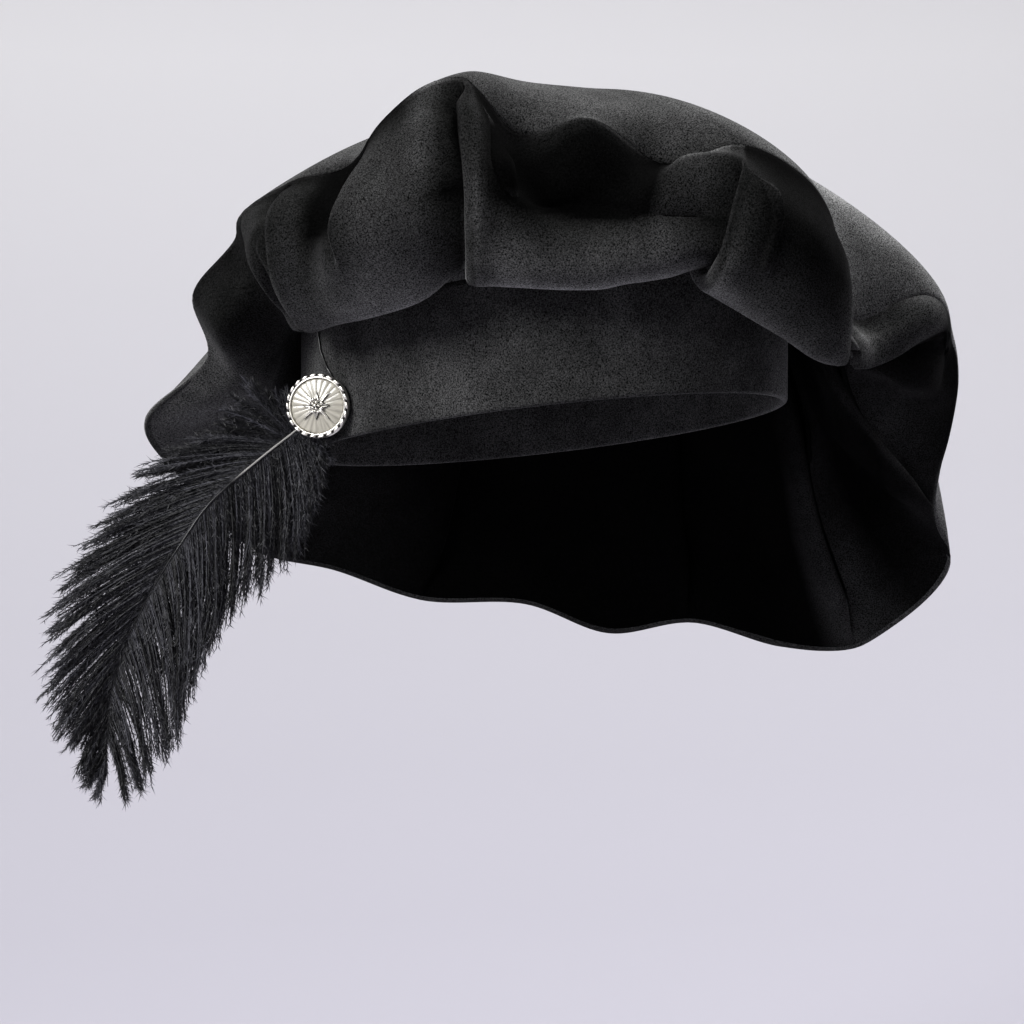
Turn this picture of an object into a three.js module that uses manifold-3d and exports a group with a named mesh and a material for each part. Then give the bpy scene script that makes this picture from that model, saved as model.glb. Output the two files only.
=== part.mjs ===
// A Tudor bonnet in black velvet: a wide floppy crown of two round panels, pleated into a stiff
// headband, with an ostrich feather held behind a silvered button brooch.
//
// Everything is laid out as seen from the wearer's right, where the folds show best: x runs across,
// y away and z up, in millimetres, from the centre of the head opening. The whole bonnet is then
// turned so that the wearer's face looks along -Y.
import * as THREE from "three";
import { mergeVertices } from "three/addons/utils/BufferGeometryUtils.js";
import Module from "manifold-3d";

const wasm = await Module();
wasm.setup();

const BONNET_TURN = -65; // degrees from the side view to the wearer's own frame
const CLOTH = 2; // velvet with its backing
const GAP = 0.4; // between pieces that touch
const SEAM_GAP = 0.25; // each panel's share of the gap at the rim seam

const BAND = { length: 202, width: 162, height: 52, wall: 3, frontTurn: 65, rows: 3, columns: 60 };
const TIP_AWAY = 0.1405; // how far the band drops per millimetre away from the viewer
const TIP_ACROSS = 0.0963; // and rises per millimetre towards the wearer's face
const CROWN_TOP = 138; // the crown's middle, resting on the head

const rad = THREE.MathUtils.degToRad;
const lerp = THREE.MathUtils.lerp;
const smooth = THREE.MathUtils.smoothstep;

// A point by its turn round the head (0 faces the viewer, 90 is on the right), reach and lift.
function around([turn, reach, lift]) {
  return new THREE.Vector3(Math.sin(rad(turn)) * reach, -Math.cos(rad(turn)) * reach, lift);
}

// The headband is an oval tipped away from the viewer.
function bandPoint(turn, offset, up) {
  const halfLength = BAND.length / 2 + offset;
  const halfWidth = BAND.width / 2 + offset;
  const fromFront = rad(turn - BAND.frontTurn);
  const reach = 1 / Math.hypot(Math.cos(fromFront) / halfLength, Math.sin(fromFront) / halfWidth);
  const p = around([turn, reach, 0]);
  p.z = up - TIP_AWAY * p.y + TIP_ACROSS * p.x;
  return p;
}

// The sections of the crown, one for each fold or puff, round the head from the tip at the back.
// Each gives turn, reach and lift of the hem that hangs over the band, of the middle and of the rim,
// then how far the top panel swells out and up from the rim and how high it stands half way in.
// overlap is how far the cloth before a pleat runs on under it; a negative one runs the other way.
const SECTIONS = [
  { hem: [-100, 118, 14], mid: [-98, 142, 8], rim: [-100, 172, 3], top: [-22, 18, 122], overlap: 0 },
  { hem: [-90, 112, 24], mid: [-87, 126, 22], rim: [-87, 138, 32], top: [-18, 18, 124], overlap: 0 },
  { hem: [-80, 109, 36], mid: [-72, 136, 42], rim: [-80, 144, 56], top: [-14, 16, 126], overlap: 0 },
  { hem: [-73, 106, 44], mid: [-64, 128, 58], rim: [-71, 131, 76], top: [-12, 14, 128], overlap: 0 },
  { hem: [-63, 111, 40], mid: [-54, 134, 63], rim: [-64, 130, 87], top: [-12, 10, 130], overlap: 10 },
  { hem: [-57, 110, 41], mid: [-46, 140, 74], rim: [-52, 122, 97], top: [-12, 10, 132], overlap: 0 },
  { hem: [-48, 111, 43], mid: [-40, 138, 76], rim: [-45, 110, 102], top: [-10, 10, 134], overlap: 0 },
  { hem: [-38, 111, 45], mid: [-33, 142, 76], rim: [-36, 113, 113], top: [-11, 10, 136], overlap: 10 },
  { hem: [-26, 111, 50], mid: [-22, 143, 86], rim: [-25, 112, 130], top: [-12, 10, 140], overlap: 0 },
  { hem: [-14, 109, 58], mid: [-12, 134, 91], rim: [-17, 106, 134], top: [-12, 8, 143], overlap: 12 },
  { hem: [-3, 111, 58], mid: [-3, 128, 87], rim: [-6, 94, 117], top: [-8, 16, 144], overlap: 0 },
  { hem: [9, 113, 59], mid: [8, 123, 88], rim: [9, 106, 120], top: [-8, 14, 144], overlap: 0 },
  { hem: [20, 115, 61], mid: [18, 130, 84], rim: [26, 106, 103], top: [-4, 20, 144], overlap: 0 },
  { hem: [31, 115, 58], mid: [29, 139, 80], rim: [36, 124, 110], top: [-8, 14, 144], overlap: 12 },
  { hem: [43, 128, 41], mid: [40, 150, 68], rim: [48, 134, 98], top: [-8, 18, 143], overlap: 0 },
  { hem: [58, 138, 28], mid: [55, 142, 48], rim: [60, 132, 76], top: [-2, 26, 142], overlap: -10 },
  { hem: [70, 136, 28], mid: [69, 136, 37], rim: [72, 130, 47], top: [4, 36, 141], overlap: 0 },
  { hem: [82, 154, 35], mid: [81, 160, 44], rim: [84, 156, 54], top: [4, 24, 140], overlap: 0 },
  { hem: [92, 166, 36], mid: [95, 178, 32], rim: [97, 181, 36], top: [4, 26, 139], overlap: 0 },
  { hem: [90, 140, 26], mid: [99, 168, 10], rim: [105, 188, 6], top: [12, 34, 138], overlap: 0 },
  { hem: [91, 120, 26], mid: [105, 152, -2], rim: [114, 192, -34], top: [18, 44, 138], overlap: 8 },
  { hem: [104, 124, 12], mid: [117, 174, -36], rim: [118, 212, -65], top: [6, 50, 138], overlap: 0 },
  { hem: [114, 122, -2], mid: [124, 153, -50], rim: [128, 188, -101], top: [10, 60, 138], overlap: 8 },
  { hem: [128, 120, -8], mid: [136, 150, -56], rim: [140, 178, -104], top: [11, 66, 139], overlap: 0 },
  { hem: [148, 112, 4], mid: [152, 138, -44], rim: [154, 168, -94], top: [12, 70, 140], overlap: 8 },
  { hem: [164, 112, -2], mid: [166, 140, -52], rim: [168, 164, -100], top: [14, 74, 140], overlap: 0 },
  { hem: [182, 108, 6], mid: [182, 134, -42], rim: [182, 160, -86], top: [14, 72, 140], overlap: 0 },
  { hem: [198, 112, 0], mid: [198, 140, -46], rim: [199, 166, -84], top: [12, 68, 139], overlap: 8 },
  { hem: [214, 112, 4], mid: [214, 140, -34], rim: [215, 166, -68], top: [9, 60, 137], overlap: 0 },
  { hem: [228, 120, 2], mid: [227, 144, -28], rim: [228, 174, -58], top: [2, 50, 132], overlap: 0 },
  { hem: [244, 116, 8], mid: [244, 142, -8], rim: [246, 172, -24], top: [-12, 32, 126], overlap: 0 },
];
const STATION_STEP = 14; // target spacing of the stations along the rim

// A smooth curve through p1 and p2, with p0 and p3 beyond them, unevenly spaced.
function between(p0, p1, p2, p3, share) {
  const knot = (a, b) => Math.max(Math.sqrt(a.distanceTo(b)), 1e-3);
  const t1 = knot(p0, p1);
  const t2 = t1 + knot(p1, p2);
  const t3 = t2 + knot(p2, p3);
  const t = lerp(t1, t2, share);
  const mix = (a, b, ta, tb) => {
    const part = (t - ta) / (tb - ta);
    return a.clone().multiplyScalar(1 - part).addScaledVector(b, part);
  };
  const a1 = mix(p0, p1, 0, t1);
  const a2 = mix(p1, p2, t1, t2);
  const a3 = mix(p2, p3, t2, t3);
  return mix(mix(a1, a2, 0, t2), mix(a2, a3, t1, t3), t1, t2);
}

function alongSections(line, index, share) {
  const count = SECTIONS.length;
  const at = (i) => around(SECTIONS[(index + i + count) % count][line]);
  return between(at(-1), at(0), at(1), at(2), share);
}

// Where the layers of a pleat lie: along the cloth, as a share of the overlap plus a few
// millimetres, and how deep behind the fold's edge.
const PLEAT_LAYERS = [
  { share: 1, along: 0, depth: 8.5 },
  { share: 1, along: 0, depth: 5 },
  { share: 0, along: 0, depth: 4.5 },
  { share: 0, along: 0, depth: 0 },
];
const PLEAT_SPREAD = 1.2; // spacing of the layers where the pleat has opened out

// The stations round the crown: a section index and share, and the pleat layer if it is in one.
function crownStations() {
  const stations = [];
  SECTIONS.forEach((section, index) => {
    const next = SECTIONS[(index + 1) % SECTIONS.length];
    const width = around(section.rim).distanceTo(around(next.rim));
    const count = Math.max(2, Math.round(width / STATION_STEP));
    const layers = section.overlap ? PLEAT_LAYERS : [null];
    layers.forEach((_, layer) => stations.push({ index, share: 0, layer: section.overlap ? layer : null }));
    for (let i = 1; i < count; i++) stations.push({ index, share: i / count, layer: null });
  });
  return stations;
}

// The lines that a section runs through, from the band seam out to the rim.
const ROWS = [
  { span: 0, share: 0 },
  { span: 1, share: 0 },
  { span: 1, share: 0.55 },
  { span: 2, share: 0 },
  { span: 2, share: 0.3 },
  { span: 2, share: 0.65 },
  { span: 3, share: 0 },
  { span: 3, share: 0.3 },
  { span: 3, share: 0.6 },
  { span: 3, share: 0.85 },
  { span: 3, share: 1 },
];
const SEAM_RISE = 5; // the cloth stands up from the seam before it rolls over
const SEAM_OUT = 4;

function smoothRow(row) {
  const line = row.span + row.share; // 0 at the seam, 2 at the hem, 3 at the middle, 4 at the rim
  return smooth(line, 0.5, 2) * (1 - smooth(line, 3.1, 3.95));
}

function undersidePoints(stations) {
  const count = stations.length;
  const lines = stations.map(({ index, share }) => {
    const hem = alongSections("hem", index, share);
    const mid = alongSections("mid", index, share);
    const rim = alongSections("rim", index, share);
    return { hem, mid, rim };
  });
  const grid = lines.map(({ hem, mid, rim }, i) => {
    const turn = THREE.MathUtils.radToDeg(Math.atan2(hem.x, -hem.y));
    const seam = bandPoint(turn, BAND.wall - 0.5, BAND.height + GAP);
    const root = bandPoint(turn, BAND.wall + SEAM_OUT, BAND.height + GAP + SEAM_RISE);
    const path = [seam, root, hem, mid, rim];
    const before = seam.clone().add(new THREE.Vector3(0, 0, -SEAM_RISE));
    const after = rim.clone().multiplyScalar(2).sub(mid);
    const full = [before, ...path, after];
    return ROWS.map(({ span, share }) =>
      between(full[span], full[span + 1], full[span + 2], full[span + 3], share),
    );
  });
  // The pleats: each layer moves along the cloth and inwards.
  const shifted = grid.map((column) => column.map((p) => p.clone()));
  stations.forEach(({ index, layer }, i) => {
    if (layer === null) return;
    const overlap = SECTIONS[index].overlap;
    const side = Math.sign(overlap);
    const rank = side > 0 ? layer : PLEAT_LAYERS.length - 1 - layer;
    const { share, along, depth } = PLEAT_LAYERS[rank];
    const first = i - layer;
    const last = first + PLEAT_LAYERS.length - 1;
    ROWS.forEach((row, r) => {
      const back = grid[(first - 1 + count) % count][r];
      const ahead = grid[(last + 1) % count][r];
      const tangent = ahead.clone().sub(back).normalize();
      const below = grid[i][Math.max(r - 1, 0)];
      const above = grid[i][Math.min(r + 1, ROWS.length - 1)];
      const outward = tangent.clone().cross(above.clone().sub(below)).normalize();
      const fold = smoothRow(row);
      const spread = (layer - (PLEAT_LAYERS.length - 1) / 2) * PLEAT_SPREAD;
      const slide = lerp(spread, side * (share * Math.abs(overlap) + along), fold);
      shifted[i][r].addScaledVector(tangent, slide).addScaledVector(outward, -depth * fold);
    });
  });
  return shifted;
}

const stations = crownStations();
const underside = undersidePoints(stations);

// The top panel runs from the rim over the head to the crown's middle.
const TOP_ROWS = [0, 0.08, 0.2, 0.34, 0.5, 0.66, 0.82];
const TOP_MIDDLE = new THREE.Vector3(0, 0, CROWN_TOP);

function topPoints(columns) {
  const count = SECTIONS.length;
  return columns.map((column, i) => {
    const rim = column[column.length - 1];
    const { index, share } = stations[i];
    const from = SECTIONS[index].top;
    const to = SECTIONS[(index + 1) % count].top;
    const blend = (value) => lerp(from[value], to[value], smooth(share, 0, 1));
    const outward = new THREE.Vector3(rim.x, rim.y, 0).normalize();
    const shoulder = rim.clone().addScaledVector(outward, blend(0));
    shoulder.z += blend(1);
    const inner = new THREE.Vector3(rim.x * 0.5, rim.y * 0.5, blend(2));
    const curve = new THREE.CubicBezierCurve3(rim, shoulder, inner, TOP_MIDDLE);
    return TOP_ROWS.map((t) => curve.getPoint(t));
  });
}
const top = topPoints(underside);

// Outward normals of a grid of columns that closes round on itself.
function gridNormals(grid) {
  const count = grid.length;
  return grid.map((column, i) =>
    column.map((_, r) => {
      const ahead = grid[(i + 1) % count][r];
      const back = grid[(i - 1 + count) % count][r];
      const above = column[Math.min(r + 1, column.length - 1)];
      const below = column[Math.max(r - 1, 0)];
      return ahead.clone().sub(back).cross(above.clone().sub(below)).normalize();
    }),
  );
}

// A closed skin through rings of points. It ends in the two poles if they are given; otherwise the
// last ring joins the first.
function loft(rings, startPole, endPole) {
  const width = rings[0].length;
  const points = rings.flat();
  const at = (ring, i) => (ring % rings.length) * width + (i % width);
  const faces = [];
  const joins = startPole ? rings.length - 1 : rings.length;
  for (let ring = 0; ring < joins; ring++) {
    for (let i = 0; i < width; i++) {
      faces.push([at(ring, i), at(ring, i + 1), at(ring + 1, i + 1)]);
      faces.push([at(ring, i), at(ring + 1, i + 1), at(ring + 1, i)]);
    }
  }
  if (startPole) {
    const last = rings.length - 1;
    points.push(startPole, endPole);
    for (let i = 0; i < width; i++) {
      faces.push([points.length - 2, at(0, i + 1), at(0, i)]);
      faces.push([at(last, i), at(last, i + 1), points.length - 1]);
    }
  }
  const geometry = new THREE.BufferGeometry();
  const numbers = points.flatMap((p) => [p.x, p.y, p.z]);
  geometry.setAttribute("position", new THREE.Float32BufferAttribute(numbers, 3));
  geometry.setIndex(faces.flat());
  return geometry;
}

// The rings of a wall of cloth: up its outer face and down its inner one.
function ringsOf(grid) {
  return grid[0].map((_, row) => grid.map((column) => column[row]));
}
function wall(outer, inner) {
  return loft([...ringsOf(outer), ...ringsOf(inner).reverse()]);
}
function cap(outer, inner, outerPole, innerPole) {
  return loft([...ringsOf(inner).reverse(), ...ringsOf(outer)], innerPole, outerPole);
}

const velvet = new THREE.MeshStandardMaterial({ color: 0x141416, roughness: 0.9 });

function piece(name, geometry, material) {
  const mesh = new THREE.Mesh(geometry, material);
  mesh.name = name;
  return mesh;
}

function offsetGrid(grid, normals, distance) {
  return grid.map((column, i) => column.map((p, r) => p.clone().addScaledVector(normals[i][r], -distance)));
}

const STEEPEST_MITRE = 0.3;

// Along the rim both panels are mitred in the plane that halves the angle between them. rows lists
// a panel's own rows that may reach over that plane, the rim's row first.
function mitre(grid, inner, normals, otherNormals, rows, otherRow) {
  const rim = grid.map((column) => column[rows[0]].clone());
  const count = grid.length;
  grid.forEach((column, i) => {
    const own = normals[i][rows[0]];
    const halving = own.clone().add(otherNormals[i][otherRow]).normalize();
    const step = column[rows[1]].clone().sub(rim[i]);
    const across = rim[(i + 1) % count].clone().sub(rim[(i - 1 + count) % count]).cross(halving).normalize();
    if (across.dot(step) < 0) across.negate();
    const depth = CLOTH / Math.max(halving.dot(own), STEEPEST_MITRE);
    inner[i][rows[0]].copy(rim[i]).addScaledVector(halving, -depth);
    const clear = (p) => {
      const side = p.clone().sub(rim[i]).dot(across);
      if (side < SEAM_GAP) p.addScaledVector(across, SEAM_GAP - side);
    };
    rows.forEach((row) => clear(inner[i][row]));
    clear(column[rows[0]]);
  });
}

const rimRow = ROWS.length - 1;
const undersideNormals = gridNormals(underside);
const topNormals = gridNormals(top);
const undersideInner = offsetGrid(underside, undersideNormals, CLOTH);
const topInner = offsetGrid(top, topNormals, CLOTH);
mitre(underside, undersideInner, undersideNormals, topNormals, [rimRow, rimRow - 1, rimRow - 2], 0);
mitre(top, topInner, topNormals, undersideNormals, [0, 1, 2], rimRow);
undersideInner.forEach((column, i) => {
  const seam = underside[i][0];
  const flat = new THREE.Vector3(seam.x, seam.y, 0).normalize();
  column[0].copy(seam).addScaledVector(flat, -CLOTH);
});
const crownUnderside = wall(underside, undersideInner);
const crownTop = cap(top, topInner, TOP_MIDDLE, TOP_MIDDLE.clone().setZ(CROWN_TOP - CLOTH));

function headband() {
  const face = (offset) =>
    Array.from({ length: BAND.columns }, (_, i) =>
      Array.from({ length: BAND.rows + 1 }, (_, row) =>
        bandPoint((360 * i) / BAND.columns, offset, (BAND.height * row) / BAND.rows),
      ),
    );
  return wall(face(BAND.wall), face(0));
}

// The button brooch: a silvered cup with a roped rim, a fluted disc of mother of pearl in it, and a
// star of eight rays on a post through the disc. z is its axis, out of its face.
const BROOCH = { radius: 13.3, back: -3.2, floor: -2, rim: 1.1, post: 1 };
const BROOCH_PLACE = { at: [-89, -46, 12], turn: -22, tilt: 4 };
const ROPE_TURNS = 22;
const DISC = { radius: 11.6, hole: 1.3, back: -1.7, edge: -0.3, shoulder: 0.5, middle: 0.7 };
const FLUTES = { count: 24, depth: 0.25 };
const STAR = { longRay: 8.2, shortRay: 6, valley: 1.9, under: 0.95, edge: 0.35, peak: 2.3, bead: 1.5 };
const SHANK = { radius: 1.2, length: 7.2, up: 3.6 };

// Rings of a turned profile given as [radius, height]; shape changes a point for its ring position.
function turned(profile, segments, shape = (p) => p) {
  return profile.map(([radius, height]) =>
    Array.from({ length: segments }, (_, i) => {
      const angle = (2 * Math.PI * i) / segments;
      const p = shape({ radius, height }, i);
      return new THREE.Vector3(Math.cos(angle) * p.radius, Math.sin(angle) * p.radius, p.height);
    }),
  );
}

function onAxis(height) {
  return new THREE.Vector3(0, 0, height);
}

function solid(geometry) {
  const merged = mergeVertices(geometry, 1e-4);
  return new wasm.Manifold(
    new wasm.Mesh({
      numProp: 3,
      vertProperties: new Float32Array(merged.attributes.position.array),
      triVerts: new Uint32Array(merged.index.array),
    }),
  );
}

function geometryOf(manifold) {
  const mesh = manifold.getMesh();
  const geometry = new THREE.BufferGeometry();
  geometry.setAttribute("position", new THREE.BufferAttribute(mesh.vertProperties, mesh.numProp));
  geometry.setIndex(new THREE.BufferAttribute(mesh.triVerts, 1));
  return geometry;
}

function broochSetting() {
  const { radius, back, floor, rim, post } = BROOCH;
  const rope = (p, i) => (p.radius > 12.3 ? { ...p, radius: p.radius - (i % 2) * 0.8 } : p);
  const cup = [
    [12.2, back],
    [radius, back + 1.4],
    [radius, rim - 0.6],
    [12.7, rim],
    [DISC.radius + 0.3, rim - 0.7],
    [DISC.radius + 0.3, floor],
    [post, floor],
    [post, STAR.under + 0.5],
  ];
  const star = (height) =>
    Array.from({ length: 16 }, (_, i) => {
      const ray = i % 4 === 0 ? STAR.shortRay : STAR.longRay;
      const reach = i % 2 ? STAR.valley : ray;
      const angle = (2 * Math.PI * i) / 16;
      return new THREE.Vector3(Math.cos(angle) * reach, Math.sin(angle) * reach, height);
    });
  const rays = loft([star(STAR.under), star(STAR.under + STAR.edge)], onAxis(STAR.under), onAxis(STAR.peak));
  const bead = [
    [STAR.bead, STAR.under + 0.3],
    [STAR.bead, STAR.peak - 0.3],
    [STAR.bead * 0.7, STAR.peak + 0.5],
  ];
  const shank = [
    [SHANK.radius, back - SHANK.length],
    [SHANK.radius, back + 0.5],
  ];
  const cupSolid = solid(loft(turned(cup, ROPE_TURNS * 2, rope), onAxis(back), onAxis(STAR.under + 0.5)));
  const beadSolid = solid(loft(turned(bead, 10), onAxis(STAR.under + 0.3), onAxis(STAR.peak + 0.8)));
  const shankSolid = solid(loft(turned(shank, 10), onAxis(back - SHANK.length), onAxis(back + 0.5)));
  const shankAtBack = shankSolid.translate([0, SHANK.up, 0]);
  return geometryOf(cupSolid.add(solid(rays)).add(beadSolid).add(shankAtBack));
}

function broochDisc() {
  const { radius, hole, back, edge, shoulder, middle } = DISC;
  const profile = [
    [hole, back],
    [radius, back],
    [radius, edge],
    [radius * 0.62, shoulder],
    [hole, middle],
  ];
  const isFace = (p) => p.radius > radius / 2 && p.height > back;
  const fluted = (p, i) => (isFace(p) ? { ...p, height: p.height - (i % 2) * FLUTES.depth } : p);
  return loft(turned(profile, FLUTES.count * 2, fluted));
}

// The feather's shaft, from behind the brooch down to the tip, with its radius.
const SHAFT = [
  { at: [-85, -41, 13], radius: 1.3 },
  { at: [-97, -36.5, 3], radius: 1.4 },
  { at: [-111, -40, -8], radius: 1.4 },
  { at: [-125, -46, -20], radius: 1.3 },
  { at: [-134, -49, -29], radius: 1.2 },
  { at: [-143, -51, -42], radius: 1.1 },
  { at: [-151, -50, -54], radius: 1 },
  { at: [-158, -48, -66], radius: 0.9 },
  { at: [-164, -46, -78], radius: 0.8 },
  { at: [-169, -44, -90], radius: 0.75 },
  { at: [-173, -42, -103], radius: 0.7 },
  { at: [-175, -40, -116], radius: 0.6 },
  { at: [-176, -38, -130], radius: 0.5 },
  { at: [-176, -36, -143], radius: 0.4 },
];
const SHAFT_SIDES = 6;

function featherQuill() {
  const ring = ({ at, radius }) =>
    Array.from({ length: SHAFT_SIDES }, (_, i) => {
      const angle = (-2 * Math.PI * i) / SHAFT_SIDES;
      const side = Math.cos(angle) * radius;
      return new THREE.Vector3(at[0] + side * 0.7, at[1] + Math.sin(angle) * radius, at[2] - side * 0.7);
    });
  const ends = [SHAFT[0], SHAFT[SHAFT.length - 1]].map(({ at }) => new THREE.Vector3(...at));
  return loft(SHAFT.map(ring), ends[0], ends[1]);
}

// The barbs of the ostrich feather lie behind the shaft as one thin vane, frayed into locks. Each
// row gives how far along the shaft it leaves, and where its locks end on either side, as seen.
const LOCKS = [
  { leaves: 1.4, left: [-103, 20], right: [-90, -2] },
  { leaves: 1.7, left: [-125, 24], right: [-84, -6] },
  { leaves: 2.1, left: [-136, 3], right: [-86, -14] },
  { leaves: 2.6, left: [-157, -9], right: [-88, -24] },
  { leaves: 3.2, left: [-170, -20], right: [-92, -37] },
  { leaves: 4, left: [-181, -37], right: [-97, -50] },
  { leaves: 5, left: [-190, -51], right: [-107, -62] },
  { leaves: 6, left: [-197, -64], right: [-119, -72] },
  { leaves: 7, left: [-202, -78], right: [-131, -85] },
  { leaves: 8, left: [-203, -95], right: [-137, -103] },
  { leaves: 9, left: [-198, -107], right: [-143, -115] },
  { leaves: 10.2, left: [-193, -122], right: [-147, -130] },
  { leaves: 11.5, left: [-186, -133], right: [-158, -138] },
  { leaves: 12.9, left: [-178, -146], right: [-170, -146] },
];
const LOCK_REACH = [1, 0.84, 0.93]; // the locks part between the rows
const VANE = {
  gap: 0.4,
  thick: 2.4,
  leftBack: 6,
  rightBack: -7,
  start: [-99.5, -35.1, 0.6],
  end: [-176, -33, -148],
};
const VANE_ACROSS = [-1, -0.66, -0.3, 0, 0.3, 0.66, 1];

function featherBarbs() {
  const rows = [];
  LOCKS.slice(0, -1).forEach((row, index) => {
    LOCK_REACH.forEach((reach, step) => rows.push({ row, next: LOCKS[index + 1], share: step / 3, reach }));
  });
  const ring = ({ row, next, share, reach }) => {
    const along = lerp(row.leaves, next.leaves, share);
    const from = SHAFT[Math.floor(along)];
    const to = SHAFT[Math.min(Math.floor(along) + 1, SHAFT.length - 1)];
    const part = along - Math.floor(along);
    const shaft = new THREE.Vector3(...from.at).lerp(new THREE.Vector3(...to.at), part);
    const behind = lerp(from.radius, to.radius, part) + VANE.gap;
    const point = (across, side) => {
      const name = across < 0 ? "left" : "right";
      const tipAcross = lerp(row[name][0], next[name][0], share);
      const tipUp = lerp(row[name][1], next[name][1], share);
      const out = Math.abs(across) * reach;
      const thick = side * VANE.thick * (1 - across * across);
      const away = shaft.y + behind + (across < 0 ? VANE.leftBack : VANE.rightBack) * across * across + thick;
      return new THREE.Vector3(lerp(shaft.x, tipAcross, out), away, lerp(shaft.z, tipUp, out));
    };
    const front = VANE_ACROSS.map((across) => point(across, 0));
    const back = VANE_ACROSS.slice(1, -1).map((across) => point(across, 1));
    return [...front, ...back.reverse()].reverse();
  };
  return loft(rows.map(ring), new THREE.Vector3(...VANE.start), new THREE.Vector3(...VANE.end));
}

const silver = new THREE.MeshStandardMaterial({ color: 0xb9b4a8, metalness: 1, roughness: 0.35 });
const pearl = new THREE.MeshStandardMaterial({ color: 0xe8e6e0, roughness: 0.3 });
const quill = new THREE.MeshStandardMaterial({ color: 0x8b857b, roughness: 0.5 });
const barbs = new THREE.MeshStandardMaterial({ color: 0x1b1b20, roughness: 0.95 });

const brooch = new THREE.Group();
brooch.position.set(...BROOCH_PLACE.at);
brooch.rotation.set(rad(90 - BROOCH_PLACE.tilt), rad(BROOCH_PLACE.turn), 0, "ZXY");
brooch.add(piece("brooch_setting", broochSetting(), silver));
brooch.add(piece("brooch_disc", broochDisc(), pearl));

const bonnet = new THREE.Group();
bonnet.rotation.z = rad(BONNET_TURN);
bonnet.add(piece("crown_underside", crownUnderside, velvet));
bonnet.add(piece("crown_top", crownTop, velvet));
bonnet.add(piece("headband", headband(), velvet));
bonnet.add(piece("feather_quill", featherQuill(), quill));
bonnet.add(piece("feather_barbs", featherBarbs(), barbs));
bonnet.add(brooch);

const part = new THREE.Group();
part.add(bonnet);
export default part;
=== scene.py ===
import math

import bpy
import numpy as np
from mathutils import Matrix, Vector


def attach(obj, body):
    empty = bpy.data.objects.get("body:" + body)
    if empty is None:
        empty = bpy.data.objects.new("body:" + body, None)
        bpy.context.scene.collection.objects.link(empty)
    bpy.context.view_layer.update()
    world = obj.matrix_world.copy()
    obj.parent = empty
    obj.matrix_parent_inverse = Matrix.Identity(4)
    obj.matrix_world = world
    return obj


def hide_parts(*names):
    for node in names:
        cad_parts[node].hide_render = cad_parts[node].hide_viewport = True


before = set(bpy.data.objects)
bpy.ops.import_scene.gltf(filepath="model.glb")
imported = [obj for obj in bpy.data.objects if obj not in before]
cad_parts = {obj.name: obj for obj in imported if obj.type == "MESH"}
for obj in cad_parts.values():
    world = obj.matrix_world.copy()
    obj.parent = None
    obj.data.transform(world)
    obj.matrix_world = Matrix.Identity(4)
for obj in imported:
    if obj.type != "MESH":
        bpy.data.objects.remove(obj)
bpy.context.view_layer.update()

# The camera looks at the wearer's right side from a little in front and just above the band, from
# 1.1 m, as the bonnet is seen in a shop's picture. SIDE_TURN is the angle between that side view
# and the wearer's own frame; the tables below are written in the side view and turned by it.
SIDE_TURN = math.radians(-65)
VIEW_RIGHT = Vector((math.cos(SIDE_TURN), math.sin(SIDE_TURN), 0))
VIEW_AWAY = Vector((-math.sin(SIDE_TURN), math.cos(SIDE_TURN), 0))


def from_side(points_mm):
    """Points laid out in the side view, in millimetres, in the bonnet's own frame in metres."""
    p = np.asarray(points_mm, float)
    turn = np.array([VIEW_RIGHT, VIEW_AWAY, (0, 0, 1)])
    return p @ turn / 1000


CAMERA_DISTANCE, CAMERA_RISE, CAMERA_LENS_MM = 1.1, math.radians(3), 92.74
AIM_RIGHT, AIM_UP = -0.0121, -0.0334
camera_data = bpy.data.cameras.new("camera")
camera_data.sensor_width = 36
camera_data.lens = CAMERA_LENS_MM
camera_data.clip_end = 20
camera = bpy.data.objects.new("camera", camera_data)
bpy.context.scene.collection.objects.link(camera)
aim = VIEW_RIGHT * AIM_RIGHT + Vector((0, 0, AIM_UP))
towards_camera = -VIEW_AWAY * math.cos(CAMERA_RISE) + Vector((0, 0, math.sin(CAMERA_RISE)))
camera.location = aim + towards_camera * CAMERA_DISTANCE
camera.rotation_mode = "QUATERNION"
camera.rotation_quaternion = (-towards_camera).to_track_quat("-Z", "Y")
bpy.context.scene.camera = camera


# The velvet of crown and band: black cotton velvet with a short upright pile. Cut pile gives back
# almost nothing face on and a soft grey where it is seen along its tips; here that grey is painted
# sheen, mixed into the colour by how edge on the surface is seen, so folds have light edges and dark
# hollows. Where the pile has been pressed it lies in paler, brushed patches. A point attribute holds
# painted light and shade, set partly by which way the nap leans: 1 where the cloth shows its lit
# side, 0 where painted shade makes it look black, and more than 1 where painted light brightens it.
def linear(hex_colour):
    channels = [int(hex_colour[i : i + 2], 16) / 255 for i in (1, 3, 5)]
    return tuple(c / 12.92 if c <= 0.04045 else ((c + 0.055) / 1.055) ** 2.4 for c in channels) + (1.0,)


def add_node(tree, kind, inputs=None, **settings):
    """Adds a node, sets its properties, and sets or links its inputs by name or number."""
    node = tree.nodes.new(kind)
    for name, value in settings.items():
        setattr(node, name, value)
    for key, value in (inputs or {}).items():
        if isinstance(value, bpy.types.NodeSocket):
            tree.links.new(value, node.inputs[key])
        else:
            node.inputs[key].default_value = value
    return node


def maths_node(tree, operation, *values, **settings):
    node = add_node(tree, "ShaderNodeMath", dict(enumerate(values)), operation=operation, **settings)
    return node.outputs[0]


def noise(tree, place, size, detail, roughness):
    """Noise whose largest grains are about this size."""
    inputs = {"Vector": place, "Scale": 1 / size, "Detail": detail, "Roughness": roughness}
    return add_node(tree, "ShaderNodeTexNoise", inputs).outputs["Fac"]


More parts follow.
